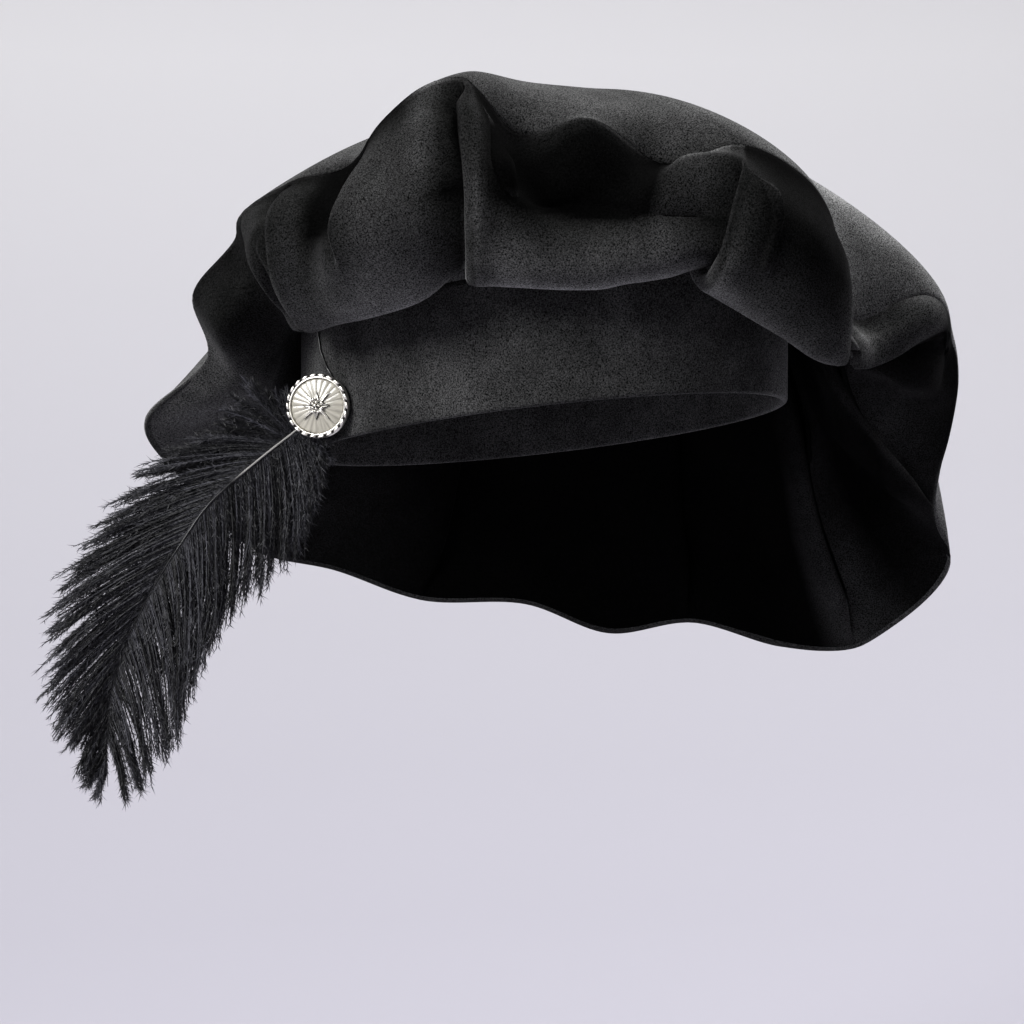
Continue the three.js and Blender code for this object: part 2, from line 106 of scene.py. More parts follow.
def mapped(tree, value, low, high, to_low=0.0, to_high=1.0, **settings):
    """A value's range from low to high as another one."""
    inputs = {"Value": value, "From Min": low, "From Max": high, "To Min": to_low, "To Max": to_high}
    return add_node(tree, "ShaderNodeMapRange", inputs, **settings).outputs["Result"]


def mixed(tree, share, first, second, **settings):
    """A mix of two colours, each a hex colour or a socket."""
    first, second = (linear(colour) if isinstance(colour, str) else colour for colour in (first, second))
    inputs = {"Factor": share, "A": first, "B": second}
    return add_node(tree, "ShaderNodeMix", inputs, data_type="RGBA", **settings).outputs["Result"]


def bump(tree, height, strength, distance):
    inputs = {"Height": height, "Strength": strength, "Distance": distance}
    return add_node(tree, "ShaderNodeBump", inputs).outputs["Normal"]


def point_value(tree, name):
    return add_node(tree, "ShaderNodeAttribute", attribute_name=name).outputs["Fac"]


def new_material(name):
    """A material, its empty tree and the place on the object, in metres."""
    material = bpy.data.materials.new(name)
    material.use_nodes = True
    tree = material.node_tree
    tree.nodes.clear()
    return material, tree, add_node(tree, "ShaderNodeTexCoord").outputs["Object"]


def finish_material(tree, inputs):
    shader = add_node(tree, "ShaderNodeBsdfPrincipled", inputs)
    add_node(tree, "ShaderNodeOutputMaterial", {"Surface": shader.outputs["BSDF"]})


def velvet(name, face_on, painted_sheen, patch_size):
    material, tree, place = new_material(name)
    # Pressed patches of the pile, 30 to 60 mm across.
    patches = mapped(tree, noise(tree, place, patch_size, 5.0, 0.65), 0.4, 0.66)
    # The pile's tufts; drawn 0.6 mm apart, about twice the real ones, so that they show.
    tufts = noise(tree, place, 0.0006, 3.0, 0.7)
    # Painted sheen: the colour turns from the face-on grey to the paler second colour as the surface is seen
    # more edge on, which lights the edges of folds.
    facing = add_node(tree, "ShaderNodeLayerWeight", {"Blend": 0.5}).outputs["Facing"]
    light = mapped(tree, facing, 0.3, 1.0, 0.0, 0.7, interpolation_type="SMOOTHSTEP")
    light = maths_node(tree, "ADD", light, maths_node(tree, "MULTIPLY", patches, 0.15), use_clamp=True)
    colour = mixed(tree, light, face_on, painted_sheen)
    # Where the painted light and shade is 0, painted shade makes it all but black.
    colour = mixed(tree, point_value(tree, "painted_light_and_shade"), "#030303", colour, clamp_factor=False)
    speckle = mapped(tree, tufts, 0.36, 0.64, 0.0, 2.0)
    speckle = maths_node(tree, "MULTIPLY", speckle, mapped(tree, patches, 0.0, 1.0, 0.85, 1.2))
    colour = mixed(tree, 1.0, colour, speckle, blend_type="MULTIPLY")
    inputs = {"Base Color": colour, "Roughness": 1.0, "Specular IOR Level": 0.01}
    finish_material(tree, inputs | {"Normal": bump(tree, tufts, 0.5, 0.0004)})
    return material


crown_velvet = velvet("black_cotton_velvet_crown", "#272727", "#525252", 0.045)

# The headband is an oval of 574 mm round inside, tipped back from the side view.
BAND_HALF_LENGTH, BAND_HALF_WIDTH, BAND_HEIGHT, BAND_WALL = 101, 81, 52, 3
BAND_FRONT_TURN = 65
TIP_AWAY, TIP_ACROSS = 0.1405, 0.0963


def band_point(turn, offset, up):
    """A point round the band, by its turn in degrees, millimetres out from its inside, and height."""
    turn = np.asarray(turn, float)
    from_front = np.radians(turn - BAND_FRONT_TURN)
    reach = 1 / np.hypot(
        np.cos(from_front) / (BAND_HALF_LENGTH + offset), np.sin(from_front) / (BAND_HALF_WIDTH + offset)
    )
    x, y = np.sin(np.radians(turn)) * reach, -np.cos(np.radians(turn)) * reach
    return np.stack([x, y, up - TIP_AWAY * y + TIP_ACROSS * x], -1)


# The sections of the crown, one for each fold or puff: turn, reach and lift of the hem, the middle
# and the rim of the underside; then how far the top panel swells out and up, and its height half in.
SECTIONS = [
    ((-100, 118, 14), (-98, 142, 8), (-100, 172, 3), (-22, 18, 122)),
    ((-90, 112, 24), (-87, 126, 22), (-87, 138, 32), (-18, 18, 124)),
    ((-80, 109, 36), (-72, 136, 42), (-80, 144, 56), (-14, 16, 126)),
    ((-73, 106, 44), (-64, 128, 58), (-71, 131, 76), (-12, 14, 128)),
    ((-63, 111, 40), (-54, 134, 63), (-64, 130, 87), (-12, 10, 130)),
    ((-57, 110, 41), (-46, 140, 74), (-52, 122, 97), (-12, 10, 132)),
    ((-48, 111, 43), (-40, 138, 76), (-45, 110, 102), (-10, 10, 134)),
    ((-38, 111, 45), (-33, 142, 76), (-36, 113, 113), (-11, 10, 136)),
    ((-26, 111, 50), (-22, 143, 86), (-25, 112, 130), (-12, 10, 140)),
    ((-14, 109, 58), (-12, 134, 91), (-17, 106, 134), (-12, 8, 143)),
    ((-3, 111, 58), (-3, 128, 87), (-6, 94, 117), (-8, 16, 144)),
    ((9, 113, 59), (8, 123, 88), (9, 106, 120), (-8, 14, 144)),
    ((20, 115, 61), (18, 130, 84), (26, 106, 103), (-4, 20, 144)),
    ((31, 115, 58), (29, 139, 80), (36, 124, 110), (-8, 14, 144)),
    ((43, 128, 41), (40, 150, 68), (48, 134, 98), (-8, 18, 143)),
    ((58, 138, 28), (55, 142, 48), (60, 132, 76), (-2, 26, 142)),
    ((70, 136, 28), (69, 136, 37), (72, 130, 47), (4, 36, 141)),
    ((82, 154, 35), (81, 160, 44), (84, 156, 54), (4, 24, 140)),
    ((92, 166, 36), (95, 178, 32), (97, 181, 36), (4, 26, 139)),
    ((90, 140, 26), (99, 168, 10), (105, 188, 6), (12, 34, 138)),
    ((91, 120, 26), (105, 152, -2), (114, 192, -34), (18, 44, 138)),
    ((104, 124, 12), (117, 174, -36), (118, 212, -65), (6, 50, 138)),
    ((114, 122, -2), (124, 153, -50), (128, 188, -101), (10, 60, 138)),
    ((128, 120, -8), (136, 150, -56), (140, 178, -104), (11, 66, 139)),
    ((148, 112, 4), (152, 138, -44), (154, 168, -94), (12, 70, 140)),
    ((164, 112, -2), (166, 140, -52), (168, 164, -100), (14, 74, 140)),
    ((182, 108, 6), (182, 134, -42), (182, 160, -86), (14, 72, 140)),
    ((198, 112, 0), (198, 140, -46), (199, 166, -84), (12, 68, 139)),
    ((214, 112, 4), (214, 140, -34), (215, 166, -68), (9, 60, 137)),
    ((228, 120, 2), (227, 144, -28), (228, 174, -58), (2, 50, 132)),
    ((244, 116, 8), (244, 142, -8), (246, 172, -24), (-12, 32, 126)),
]
# The pleats: at which section, how far the cloth before it runs on under it (a negative one runs the
# other way), how wide a hollow lies before its edge, and between which lines it closes and opens
# again. Line 0 is the band seam, 1 just above it, 2 the hem, 3 the middle and 4 the rim.
PLEATS = {
    4: (10, 12, 0.5, 2.0, 3.6, 3.98),
    5: (7, 9, 1.9, 2.8, 3.6, 3.98),
    7: (9, 14, 2.7, 3.3, 3.7, 3.99),
    9: (12, 14, 0.5, 2.0, 3.72, 3.96),
    13: (12, 10, 0.5, 2.0, 3.1, 3.6),
    15: (-10, 12, 0.5, 2.0, 3.7, 3.98),
    20: (8, 14, 0.5, 2.0, 3.5, 3.98),
    22: (8, 16, 0.5, 2.0, 3.5, 3.98),
    24: (8, 16, 0.5, 2.0, 3.3, 3.98),
    27: (8, 16, 0.5, 2.0, 3.3, 3.98),
}
# The soft rolls and dents that lie over the sections: how far each fades towards the sections before
# and after it, and its path, as (section, line, millimetres out). A dent has negative millimetres.
FOLDS = [
    ((9, 16), [(4.1, 3.9, 2), (3.8, 3.8, 6), (4.2, 3.0, 7), (4.3, 2.6, 6), (4.6, 2.1, 2)]),
    ((12, 9), [(3.4, 3.7, -3), (3.4, 3.1, -8), (3.6, 2.6, -8), (3.9, 2.2, -3)]),
    ((7, 12), [(5.2, 3.9, 2), (5.0, 3.6, 5), (4.8, 3.3, 5), (4.7, 2.9, 2)]),
    ((8, 17), [(7.1, 3.9, 2), (7.1, 3.5, 7), (7.0, 3.3, 8), (6.4, 3.0, 7), (6.2, 2.7, 2)]),
    ((9, 8), [(6.8, 3.9, -2), (6.7, 3.5, -8), (6.5, 3.2, -9), (5.9, 2.9, -7), (5.7, 2.6, -2)]),
    ((12, 12), [(7.8, 3.6, -3), (8.0, 3.3, -10), (8.35, 2.95, -10), (8.6, 2.6, -4)]),
    ((13, 11), [(8.3, 3.2, 2), (8.5, 3.5, 6), (8.8, 3.75, 4)]),
    ((12, 7), [(8.8, 3.6, 3), (8.85, 3.1, 6), (8.85, 2.6, 6), (8.9, 2.2, 2)]),
    ((10, 15), [(10.1, 3.8, -4), (10.15, 3.4, -10), (10.5, 3.05, -14), (11.2, 2.95, -14), (11.8, 2.95, -6)]),
    ((11, 13), [(9.2, 2.3, 3), (10.2, 2.4, 7), (11.1, 2.4, 8), (12.1, 2.5, 9), (12.9, 2.75, 6)]),
    ((8, 9), [(11.6, 2.9, 2), (12.0, 3.3, 9), (12.3, 3.6, 11), (12.7, 3.55, 10), (12.95, 3.3, 8)]),
    ((7, 8), [(11.9, 2.85, -4), (12.3, 2.98, -12), (12.75, 3.1, -12)]),
    ((7, 18), [(13.0, 3.5, 4), (13.2, 3.2, 8), (13.2, 2.8, 9), (13.1, 2.4, 7), (13.0, 2.1, 2)]),
    ((16, 12), [(14.2, 3.5, 3), (14.0, 3.1, 6), (13.9, 2.6, 4)]),
    ((15, 8), [(14.7, 3.8, 2), (14.6, 3.0, 8), (14.65, 2.6, 8), (14.8, 2.2, 3)]),
    ((8, 13), [(15.1, 3.7, -2), (15.1, 3.1, -8), (15.2, 2.7, -8), (15.3, 2.3, -3)]),
    ((10, 12), [(15.0, 2.4, 2), (16.2, 2.8, 6), (17.1, 3.5, 6), (17.6, 3.9, 2)]),
    ((9, 9), [(16.0, 3.6, -3), (16.2, 3.3, -7), (16.6, 3.1, -3)]),
    ((10, 10), [(17.0, 2.3, -3), (17.8, 2.8, -9), (18.4, 3.4, -7), (18.7, 3.9, -2)]),
    ((9, 9), [(20.0, 2.0, 3), (20.0, 2.5, 8), (20.0, 2.9, 8), (20.1, 3.3, 7), (20.1, 3.9, 2)]),
    ((8, 8), [(21.3, 1.8, 2), (20.8, 2.1, 6), (20.6, 2.5, 6), (20.5, 3.1, 4)]),
    ((9, 12), [(19.4, 2.4, -6), (19.2, 3.0, -9), (19.2, 3.6, -4)]),
    ((12, 12), [(21.4, 2.4, -7), (21.2, 3.0, -10), (21.0, 3.6, -5)]),
    ((9, 10), [(22.0, 1.9, 3), (22.0, 2.4, 8), (22.0, 2.9, 8), (22.0, 3.5, 6), (22.0, 3.9, 2)]),
    ((10, 12), [(24.0, 2.2, 3), (24.0, 2.8, 6), (24.0, 3.6, 2)]),
    ((12, 10), [(23.3, 2.4, -4), (23.2, 3.1, -7), (23.2, 3.7, -3)]),
]
# Painted light and shade, set partly by how the nap lies, at the hem, the middle and the rim:
# (section, (hem, middle, rim)). 0 is painted black shade, and a value below it moves the edge of the
# black nearer to the next line; above 1 is painted light.
PAINTED_LIGHT_AND_SHADE = [
    (0, (1.0, 1.4, 1.9)),
    (2, (0.35, 0.2, 0.1)),
    (3.6, (0.1, 0.1, 0.15)),
    (4, (0.8, 0.3, 0.3)),
    (4.9, (0.8, 0.15, 0.05)),
    (5.1, (0.9, 0.35, 0.05)),
    (5.45, (1.0, 0.6, 0.05)),
    (5.75, (1.2, 0.0, 0.0)),
    (6.2, (1.3, 0.0, 0.0)),
    (6.9, (2.0, 0.1, 0.0)),
    (7.1, (2.2, 0.4, 0.0)),
    (7.45, (2.0, 1.0, 0.0)),
    (7.75, (2.0, 1.1, 0.0)),
    (8.1, (2.2, 1.1, 0.5)),
    (8.3, (1.7, 0.4, 1.3)),
    (8.6, (0.8, 0.0, 0.6)),
    (8.95, (0.0, 0.0, 0.0)),
    (9.05, (1.3, 1.1, 0.3)),
    (9.2, (1.5, 0.5, 0.0)),
    (9.35, (1.9, 0.1, 0.0)),
    (9.6, (2.4, 0.0, 0.0)),
    (10.2, (2.6, -0.3, 0.15)),
    (11.0, (2.9, -0.8, 0.15)),
    (11.5, (2.3, -0.6, 0.15)),
    (11.9, (1.9, -0.1, 0.0)),
    (12.1, (1.8, 0.5, 0.1)),
    (12.3, (1.7, 0.35, 0.9)),
    (12.5, (1.6, 0.2, 1.4)),
    (12.7, (1.2, 0.08, 1.2)),
    (12.95, (0.1, 0.1, 0.5)),
    (13.1, (1.9, 0.4, 0.0)),
    (13.5, (1.4, 0.12, 0.0)),
    (14.4, (1.0, 0.08, 0.02)),
    (14.7, (1.0, 0.4, 0.08)),
    (14.95, (0.3, 0.25, 0.2)),
    (16.0, (0.2, 1.0, 0.3)),
    (16.9, (0.05, 0.6, 1.0)),
    (17.4, (0.05, 0.04, 0.15)),
    (18.6, (0.08, 0.08, 0.03)),
    (19.9, (0.2, 0.4, 0.25)),
    (20.1, (0.05, 0.0, 0.2)),
    (20.8, (0.0, 0.0, 0.2)),
    (21.4, (0.0, 0.0, 0.1)),
    (22.0, (0.1, 0.4, 0.6)),
    (22.5, (0.0, 0.0, 0.0)),
    (27.0, (0.0, 0.0, 0.0)),
    (29.0, (0.1, 0.2, 0.3)),
    (31, (1.0, 1.4, 1.9)),
]
# Painted light and shade on the top panel, by section: (section, value); above 1 is painted light.
TOP_PAINTED_LIGHT_AND_SHADE = [(0, 0.9), (9, 0.7), (12.5, 0.7), (14.5, 1.6), (17, 2.4), (20, 1.6), (24, 0.9), (31, 0.9)]
CROWN_TOP = 138
SEAM_RISE, SEAM_OUT, SEAM_GAP, SEAM_IN = 5, 4, 0.4, 0.5


def around(turn, reach, lift):
    return np.array([math.sin(math.radians(turn)) * reach, -math.cos(math.radians(turn)) * reach, lift])


def curve_between(p0, p1, p2, p3, share):
    """A smooth curve from p1 to p2, unevenly spaced, with p0 and p3 beyond them. Works on arrays."""

    def knot(a, b):
        return np.maximum(np.sqrt(np.linalg.norm(b - a, axis=-1, keepdims=True)), 1e-3)

    t1 = knot(p0, p1)
    t2 = t1 + knot(p1, p2)
    t3 = t2 + knot(p2, p3)
    t = t1 + (t2 - t1) * share
    a1 = (t1 - t) / t1 * p0 + t / t1 * p1
    a2 = (t2 - t) / (t2 - t1) * p1 + (t - t1) / (t2 - t1) * p2
    a3 = (t3 - t) / (t3 - t2) * p2 + (t - t2) / (t3 - t2) * p3
    b1 = (t2 - t) / t2 * a1 + t / t2 * a2
    b2 = (t3 - t) / (t3 - t1) * a2 + (t - t1) / (t3 - t1) * a3
    return (t2 - t) / (t2 - t1) * b1 + (t - t1) / (t2 - t1) * b2


def ease(x, low, high):
    t = np.clip((np.asarray(x, float) - low) / (high - low), 0, 1)
    return t * t * (3 - 2 * t)


# Where the cloth of a pleat runs: under the fold's edge, back and out again. Each row is a share of
# the overlap, millimetres along the cloth and the depth behind the edge.
PLEAT_PATH = [
    (0, -2.4, 8.0),
    (0, 0.2, 9.0),
    (0, 2.5, 10.3),
    (0.35, 2.0, 11.6),
    (0.8, 0.0, 12.2),
    (1, 1.0, 11.8),
    (1, 2.2, 10.4),
    (1, 1.4, 9.0),
    (0.7, 0.0, 8.6),
    (0.3, 0.0, 8.2),
    (0, 0.8, 7.2),
    (0, -1.6, 5.6),
    (0, -3.0, 3.6),
    (0, -2.2, 1.4),
    (0, 0.6, 0.1),
]
PLEAT_HOLLOW, HOLLOW_STATIONS = 8.0, 15  # how deep a hollow is and how many stations it may take
PLEAT_SPREAD = 0.3  # between a pleat's layers where it is open
STATION_STEP = 3.2
FOLD_STEPS = 40  # along the path of a roll or dent
FADE_CHANGE = 0.5  # sections to each side of its path, over which one fade gives way to the other
ROW_COUNTS = (3, 7, 15, 17)  # between seam, root, hem, middle and rim


def crown_stations():
    """(section, share along it, pleat layer or -1) for every column round the crown."""
    stations = []
    for index, section in enumerate(SECTIONS):
        after = SECTIONS[(index + 1) % len(SECTIONS)]
        width = np.linalg.norm(around(*section[2]) - around(*after[2]))
        if index in PLEATS:
            stations += [(index, 0.0, layer) for layer in range(len(PLEAT_PATH))]
        else:
            stations.append((index, 0.0, -1))
        count = max(4, round(width / STATION_STEP))
        stations += [(index, step / count, -1) for step in range(1, count)]
    return stations


stations = crown_stations()
columns = len(stations)
station_places = np.array([index + share for index, share, layer in stations])


def section_line(which):
    """The line of hems, middles or rims, at every station."""
    points = np.array([around(*section[which]) for section in SECTIONS])
    count = len(points)
    index = np.array([s[0] for s in stations])
    share = np.array([s[1] for s in stations])[:, None]
    before, here, after, beyond = (points[(index + step) % count] for step in (-1, 0, 1, 2))
    return curve_between(before, here, after, beyond, share)


def grid_normals(grid):
    across = np.roll(grid, -1, 0) - np.roll(grid, 1, 0)
    along = np.gradient(grid, axis=1)
    normal = np.cross(across, along)
    return normal / np.maximum(np.linalg.norm(normal, axis=2, keepdims=True), 1e-9)


def folded(grid, lines):
    """The grid with its rolls and dents raised along its normals."""
    places, first, copies = np.unique(station_places, return_index=True, return_inverse=True)
    plain = grid[first]
    raised = np.zeros(plain.shape[:2])
    for (before, after), path in FOLDS:
        knots = np.linspace(0, 1, len(path))
        steps = np.linspace(0, 1, FOLD_STEPS)
        section, line, height = (np.interp(steps, knots, column) for column in zip(*path))
        column = np.searchsorted(places, section).clip(1, len(places) - 1)
        row = np.searchsorted(lines, line).clip(1, len(lines) - 1)
        apart = np.linalg.norm(plain[:, :, None] - plain[column, row], axis=-1)
        nearest = apart.argmin(-1)
        past = ease(places[:, None] - section[nearest], -FADE_CHANGE, FADE_CHANGE)
        fade = before + (after - before) * past
        raised += height[nearest] * np.exp(-((apart.min(-1) / fade) ** 2))
    for _ in range(3):
        raised = (np.roll(raised, 1, 0) + 2 * raised + np.roll(raised, -1, 0)) / 4
        raised[:, 1:-1] = (raised[:, :-2] + 2 * raised[:, 1:-1] + raised[:, 2:]) / 4
    return (plain + grid_normals(plain) * raised[..., None])[copies.ravel()]


def folded_up(index, lines):
    """How far a pleat is folded up at each line, from 0 to 1."""
    closes, closed, opens, opened = PLEATS[index][2:]
    return ease(lines, closes, closed) * (1 - ease(lines, opens, opened))


def pleat_step(index, layer):
    """The row of PLEAT_PATH that a pleat's layer follows."""
    return PLEAT_PATH[layer if PLEATS[index][0] > 0 else len(PLEAT_PATH) - 1 - layer]


def underside_grid():
    hem, middle, rim = (section_line(which) for which in range(3))
    turn = np.degrees(np.arctan2(hem[:, 0], -hem[:, 1]))
    seam = band_point(turn, BAND_WALL - SEAM_IN, BAND_HEIGHT + SEAM_GAP)
    root = band_point(turn, BAND_WALL + SEAM_OUT, BAND_HEIGHT + SEAM_GAP + SEAM_RISE)
    full = [seam - (0, 0, SEAM_RISE), seam, root, hem, middle, rim, 2 * rim - middle]
    rows, lines = [], []
    for span, count in enumerate(ROW_COUNTS):
        for step in range(count):
            rows.append(curve_between(*full[span : span + 4], step / count))
            lines.append(span + step / count)
    rows.append(rim)
    lines.append(4.0)
    grid = np.stack(rows, 1)  # station, row, xyz
    lines = np.array(lines)
    grid = folded(grid, lines)
    shifted = grid.copy()
    layers = len(PLEAT_PATH)
    first_layers = {index: i for i, (index, share, layer) in enumerate(stations) if layer == 0}
    for index, (overlap, hollow, *_) in PLEATS.items():
        first, last = first_layers[index], first_layers[index] + layers - 1
        side = 1 if overlap > 0 else -1
        fold = folded_up(index, lines)
        tangent = grid[(last + 2) % columns] - grid[first - 2]
        tangent /= np.linalg.norm(tangent, axis=1, keepdims=True)
        outward = np.cross(tangent, np.gradient(grid[first], axis=0))
        outward /= np.linalg.norm(outward, axis=1, keepdims=True)
        for layer in range(layers):
            part, along, depth = pleat_step(index, layer)
            spread = (layer - (layers - 1) / 2) * PLEAT_SPREAD
            slide = spread + (side * (part * abs(overlap) + along) - spread) * fold
            shifted[first + layer] += tangent * slide[:, None] - outward * (depth * fold)[:, None]
        edge = grid[first]
        for step in range(1, HOLLOW_STATIONS + 1):
            i = (first - step if side > 0 else last + step) % columns
            near = np.exp(-((np.linalg.norm(grid[i] - edge, axis=1) / hollow) ** 2))
            shifted[i] -= outward * (PLEAT_HOLLOW * fold * near)[:, None]
    return shifted, lines


underside, row_lines = underside_grid()
TOP_ROWS = 34
SMOOTHINGS, SMOOTHINGS_PER_ROW = 160, 6


def top_grid():
    count = len(SECTIONS)
    index = np.array([s[0] for s in stations])
    share = ease([s[1] for s in stations], 0, 1)[:, None]
    swell = np.array([section[3] for section in SECTIONS], float)
    swell = swell[index] * (1 - share) + swell[(index + 1) % count] * share
    rim = underside[:, -1]
    flat = rim * (1, 1, 0)
    outward = flat / np.linalg.norm(flat, axis=1, keepdims=True)
    shoulder = rim + outward * swell[:, :1] + np.array([0, 0, 1]) * swell[:, 1:2]
    inner = flat * 0.5 + np.array([0, 0, 1]) * swell[:, 2:3]
    middle = np.array([0, 0, CROWN_TOP])
    rows = []
    for step in range(TOP_ROWS):
        t = step / TOP_ROWS
        u = 1 - t
        rows.append(u**3 * rim + 3 * u * u * t * shoulder + 3 * u * t * t * inner + t**3 * middle)
    grid = np.stack(rows, 1)
    for smoothed in range(SMOOTHINGS):  # evened out round the crown, the more the nearer its middle
        inside = grid[:, 1 + smoothed // SMOOTHINGS_PER_ROW :]
        inside[:] = (np.roll(inside, 1, 0) + 2 * inside + np.roll(inside, -1, 0)) / 4
    return grid


top = top_grid()


def mesh_object(name, points, faces, material):
    mesh = bpy.data.meshes.new(name)
    mesh.from_pydata(np.asarray(points, float).tolist(), [], faces)
    mesh.validate()
    mesh.polygons.foreach_set("use_smooth", [True] * len(mesh.polygons))
    mesh.materials.append(material)
    obj = bpy.data.objects.new(name, mesh)
    bpy.context.scene.collection.objects.link(obj)
    return obj


def set_point_values(obj, name, values):
    obj.data.attributes.new(name, "FLOAT", "POINT").data.foreach_set("value", np.asarray(values, float))


def grid_faces(columns, rows, ring=True, tube=False, flip=False):
    """Quads on a grid of points, column by column. A ring joins its last column to the first, and a
    tube its last row. flip turns the faces over."""
    faces = []
    for i in range(columns if ring else columns - 1):
        for r in range(rows if tube else rows - 1):
            j, s = (i + 1) % columns, (r + 1) % rows
            quad = (i * rows + r, j * rows + r, j * rows + s, i * rows + s)
            faces.append((quad[0], quad[3], quad[2], quad[1]) if flip else quad)
    return faces


def apply_modifiers(obj):
    """Turns the object's modifiers into plain mesh."""
    shape = bpy.data.meshes.new_from_object(obj.evaluated_get(bpy.context.evaluated_depsgraph_get()))
    obj.modifiers.clear()
    old, obj.data = obj.data, shape
    bpy.data.meshes.remove(old)


underside_points = from_side(underside.reshape(-1, 3))
underside_faces = grid_faces(columns, underside.shape[1])
crown_underside = mesh_object("crown_underside_velvet", underside_points, underside_faces, crown_velvet)
top_points = np.vstack([top.reshape(-1, 3), [[0, 0, CROWN_TOP]]])
top_faces = grid_faces(columns, TOP_ROWS)
for column in range(columns):
    after = (column + 1) % columns
    top_faces.append((column * TOP_ROWS + TOP_ROWS - 1, after * TOP_ROWS + TOP_ROWS - 1, columns * TOP_ROWS))
crown_top = mesh_object("crown_top_velvet", from_side(top_points), top_faces, crown_velvet)


def painted_light_and_shade_at(places):
    """The painted light and shade at these sections, down every row of the underside."""
    lines = [np.interp(places, [row[0] for row in PAINTED_LIGHT_AND_SHADE], [row[1][line] for row in PAINTED_LIGHT_AND_SHADE]) for line in range(3)]
    return np.array([np.interp(row_lines, (2, 3, 4), column) for column in np.transpose(lines)]).clip(0)


LIGHT_AND_SHADE_TAKEN_AT = 0.7  # how many sections to the side lies the cloth over a pleat
painted_light_and_shade = painted_light_and_shade_at(station_places)
for column, (index, share, layer) in enumerate(stations):
    if layer >= 0:  # inside a pleat the painted light and shade is that of the cloth over it
        over = painted_light_and_shade_at([index + math.copysign(LIGHT_AND_SHADE_TAKEN_AT, PLEATS[index][0])])[0]
        inside = ease(pleat_step(index, layer)[2], 1, 4) * ease(folded_up(index, row_lines), 0.8, 1)
        painted_light_and_shade[column] += (over - painted_light_and_shade[column]) * inside
set_point_values(crown_underside, "painted_light_and_shade", painted_light_and_shade.ravel())
top_painted_light_and_shade = np.interp(station_places, *zip(*TOP_PAINTED_LIGHT_AND_SHADE))
set_point_values(crown_top, "painted_light_and_shade", np.append(np.repeat(top_painted_light_and_shade, TOP_ROWS), TOP_PAINTED_LIGHT_AND_SHADE[0][1]))
# The panels are cut from squares of velvet: a ring, whose fullness is pleated in, and a round.
CLOTH_WALL = 0.0016
for panel, node, cut, area, held, under in (
    (crown_underside, "crown_underside", 0.475, 0.152, "gathered", "headband"),
    (crown_top, "crown_top", 0.41, 0.132, "draped", "crown_underside_velvet"),
):
    wall = panel.modifiers.new("cloth", "SOLIDIFY")
    wall.thickness = CLOTH_WALL
    wall.offset = -1
    apply_modifiers(panel)
    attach(panel, "root")
    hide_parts(node)

# The headband: a stiff strip covered in the same velvet, doubled over at its lower edge.
band_velvet = velvet("black_cotton_velvet_band", "#282828", "#4c4c4c", 0.03)
BAND_COLUMNS = 180
BAND_EDGE = 3.5  # how far up the doubled lower edge is rounded


def band_profile():
    """Offset and height of the band's section: outer face up, over the top, inner face down."""
    half = BAND_WALL / 2
    lower = [(half + half * math.cos(a), half + half * math.sin(a)) for a in np.linspace(-math.pi, 0, 9)]
    outer = [(BAND_WALL, h) for h in np.linspace(BAND_EDGE, BAND_HEIGHT, 24)]
    inner = [(0, h) for h in np.linspace(BAND_HEIGHT, BAND_EDGE, 12)]
    return lower + outer + inner


profile = band_profile()
turns = [360 * i / BAND_COLUMNS for i in range(BAND_COLUMNS)]
band_points = np.array([band_point(turn, offset, height) for turn in turns for offset, height in profile])
band_faces = grid_faces(BAND_COLUMNS, len(profile), tube=True)
headband = mesh_object("headband_velvet", from_side(band_points), band_faces, band_velvet)
set_point_values(headband, "painted_light_and_shade", np.ones(len(band_points)))
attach(headband, "root")
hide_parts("headband")

# The feather: an ostrich plume dyed black, pinned through its bare grey shaft, which thins to a
# thread at the drooping tip. Keratin is smooth, hard and a little translucent, so it looks waxy.
SHAFT = [
    ((-85, -41, 13), 1.3),
    ((-97, -36.5, 3), 1.4),
    ((-111, -40, -8), 1.4),
    ((-125, -46, -20), 1.3),
    ((-134, -49, -29), 1.2),
    ((-143, -51, -42), 1.1),
    ((-151, -50, -54), 1.0),
    ((-158, -48, -66), 0.9),
    ((-164, -46, -78), 0.8),
    ((-169, -44, -90), 0.75),
    ((-173, -42, -103), 0.7),
    ((-175, -40, -116), 0.6),
    ((-176, -38, -130), 0.5),
    ((-176, -36, -143), 0.4),
]
QUILL_THINNING = 0.3  # the bared shaft against the room that its solid keeps for it
shaft_places = np.array([place for place, radius in SHAFT], float)
shaft_radii = np.array([radius for place, radius in SHAFT])


def along_shaft(at):
    """Place in the side view and radius at a number of table rows down the shaft."""
    at = np.clip(np.asarray(at, float), 0, len(SHAFT) - 1)
    row = np.minimum(at.astype(int), len(SHAFT) - 2)
    before, after = 2 * shaft_places[0] - shaft_places[1], 2 * shaft_places[-1] - shaft_places[-2]
    ends = np.vstack([before, shaft_places, after])
    place = curve_between(ends[row], ends[row + 1], ends[row + 2], ends[row + 3], (at - row)[..., None])
    return place, np.interp(at, np.arange(len(SHAFT)), shaft_radii)


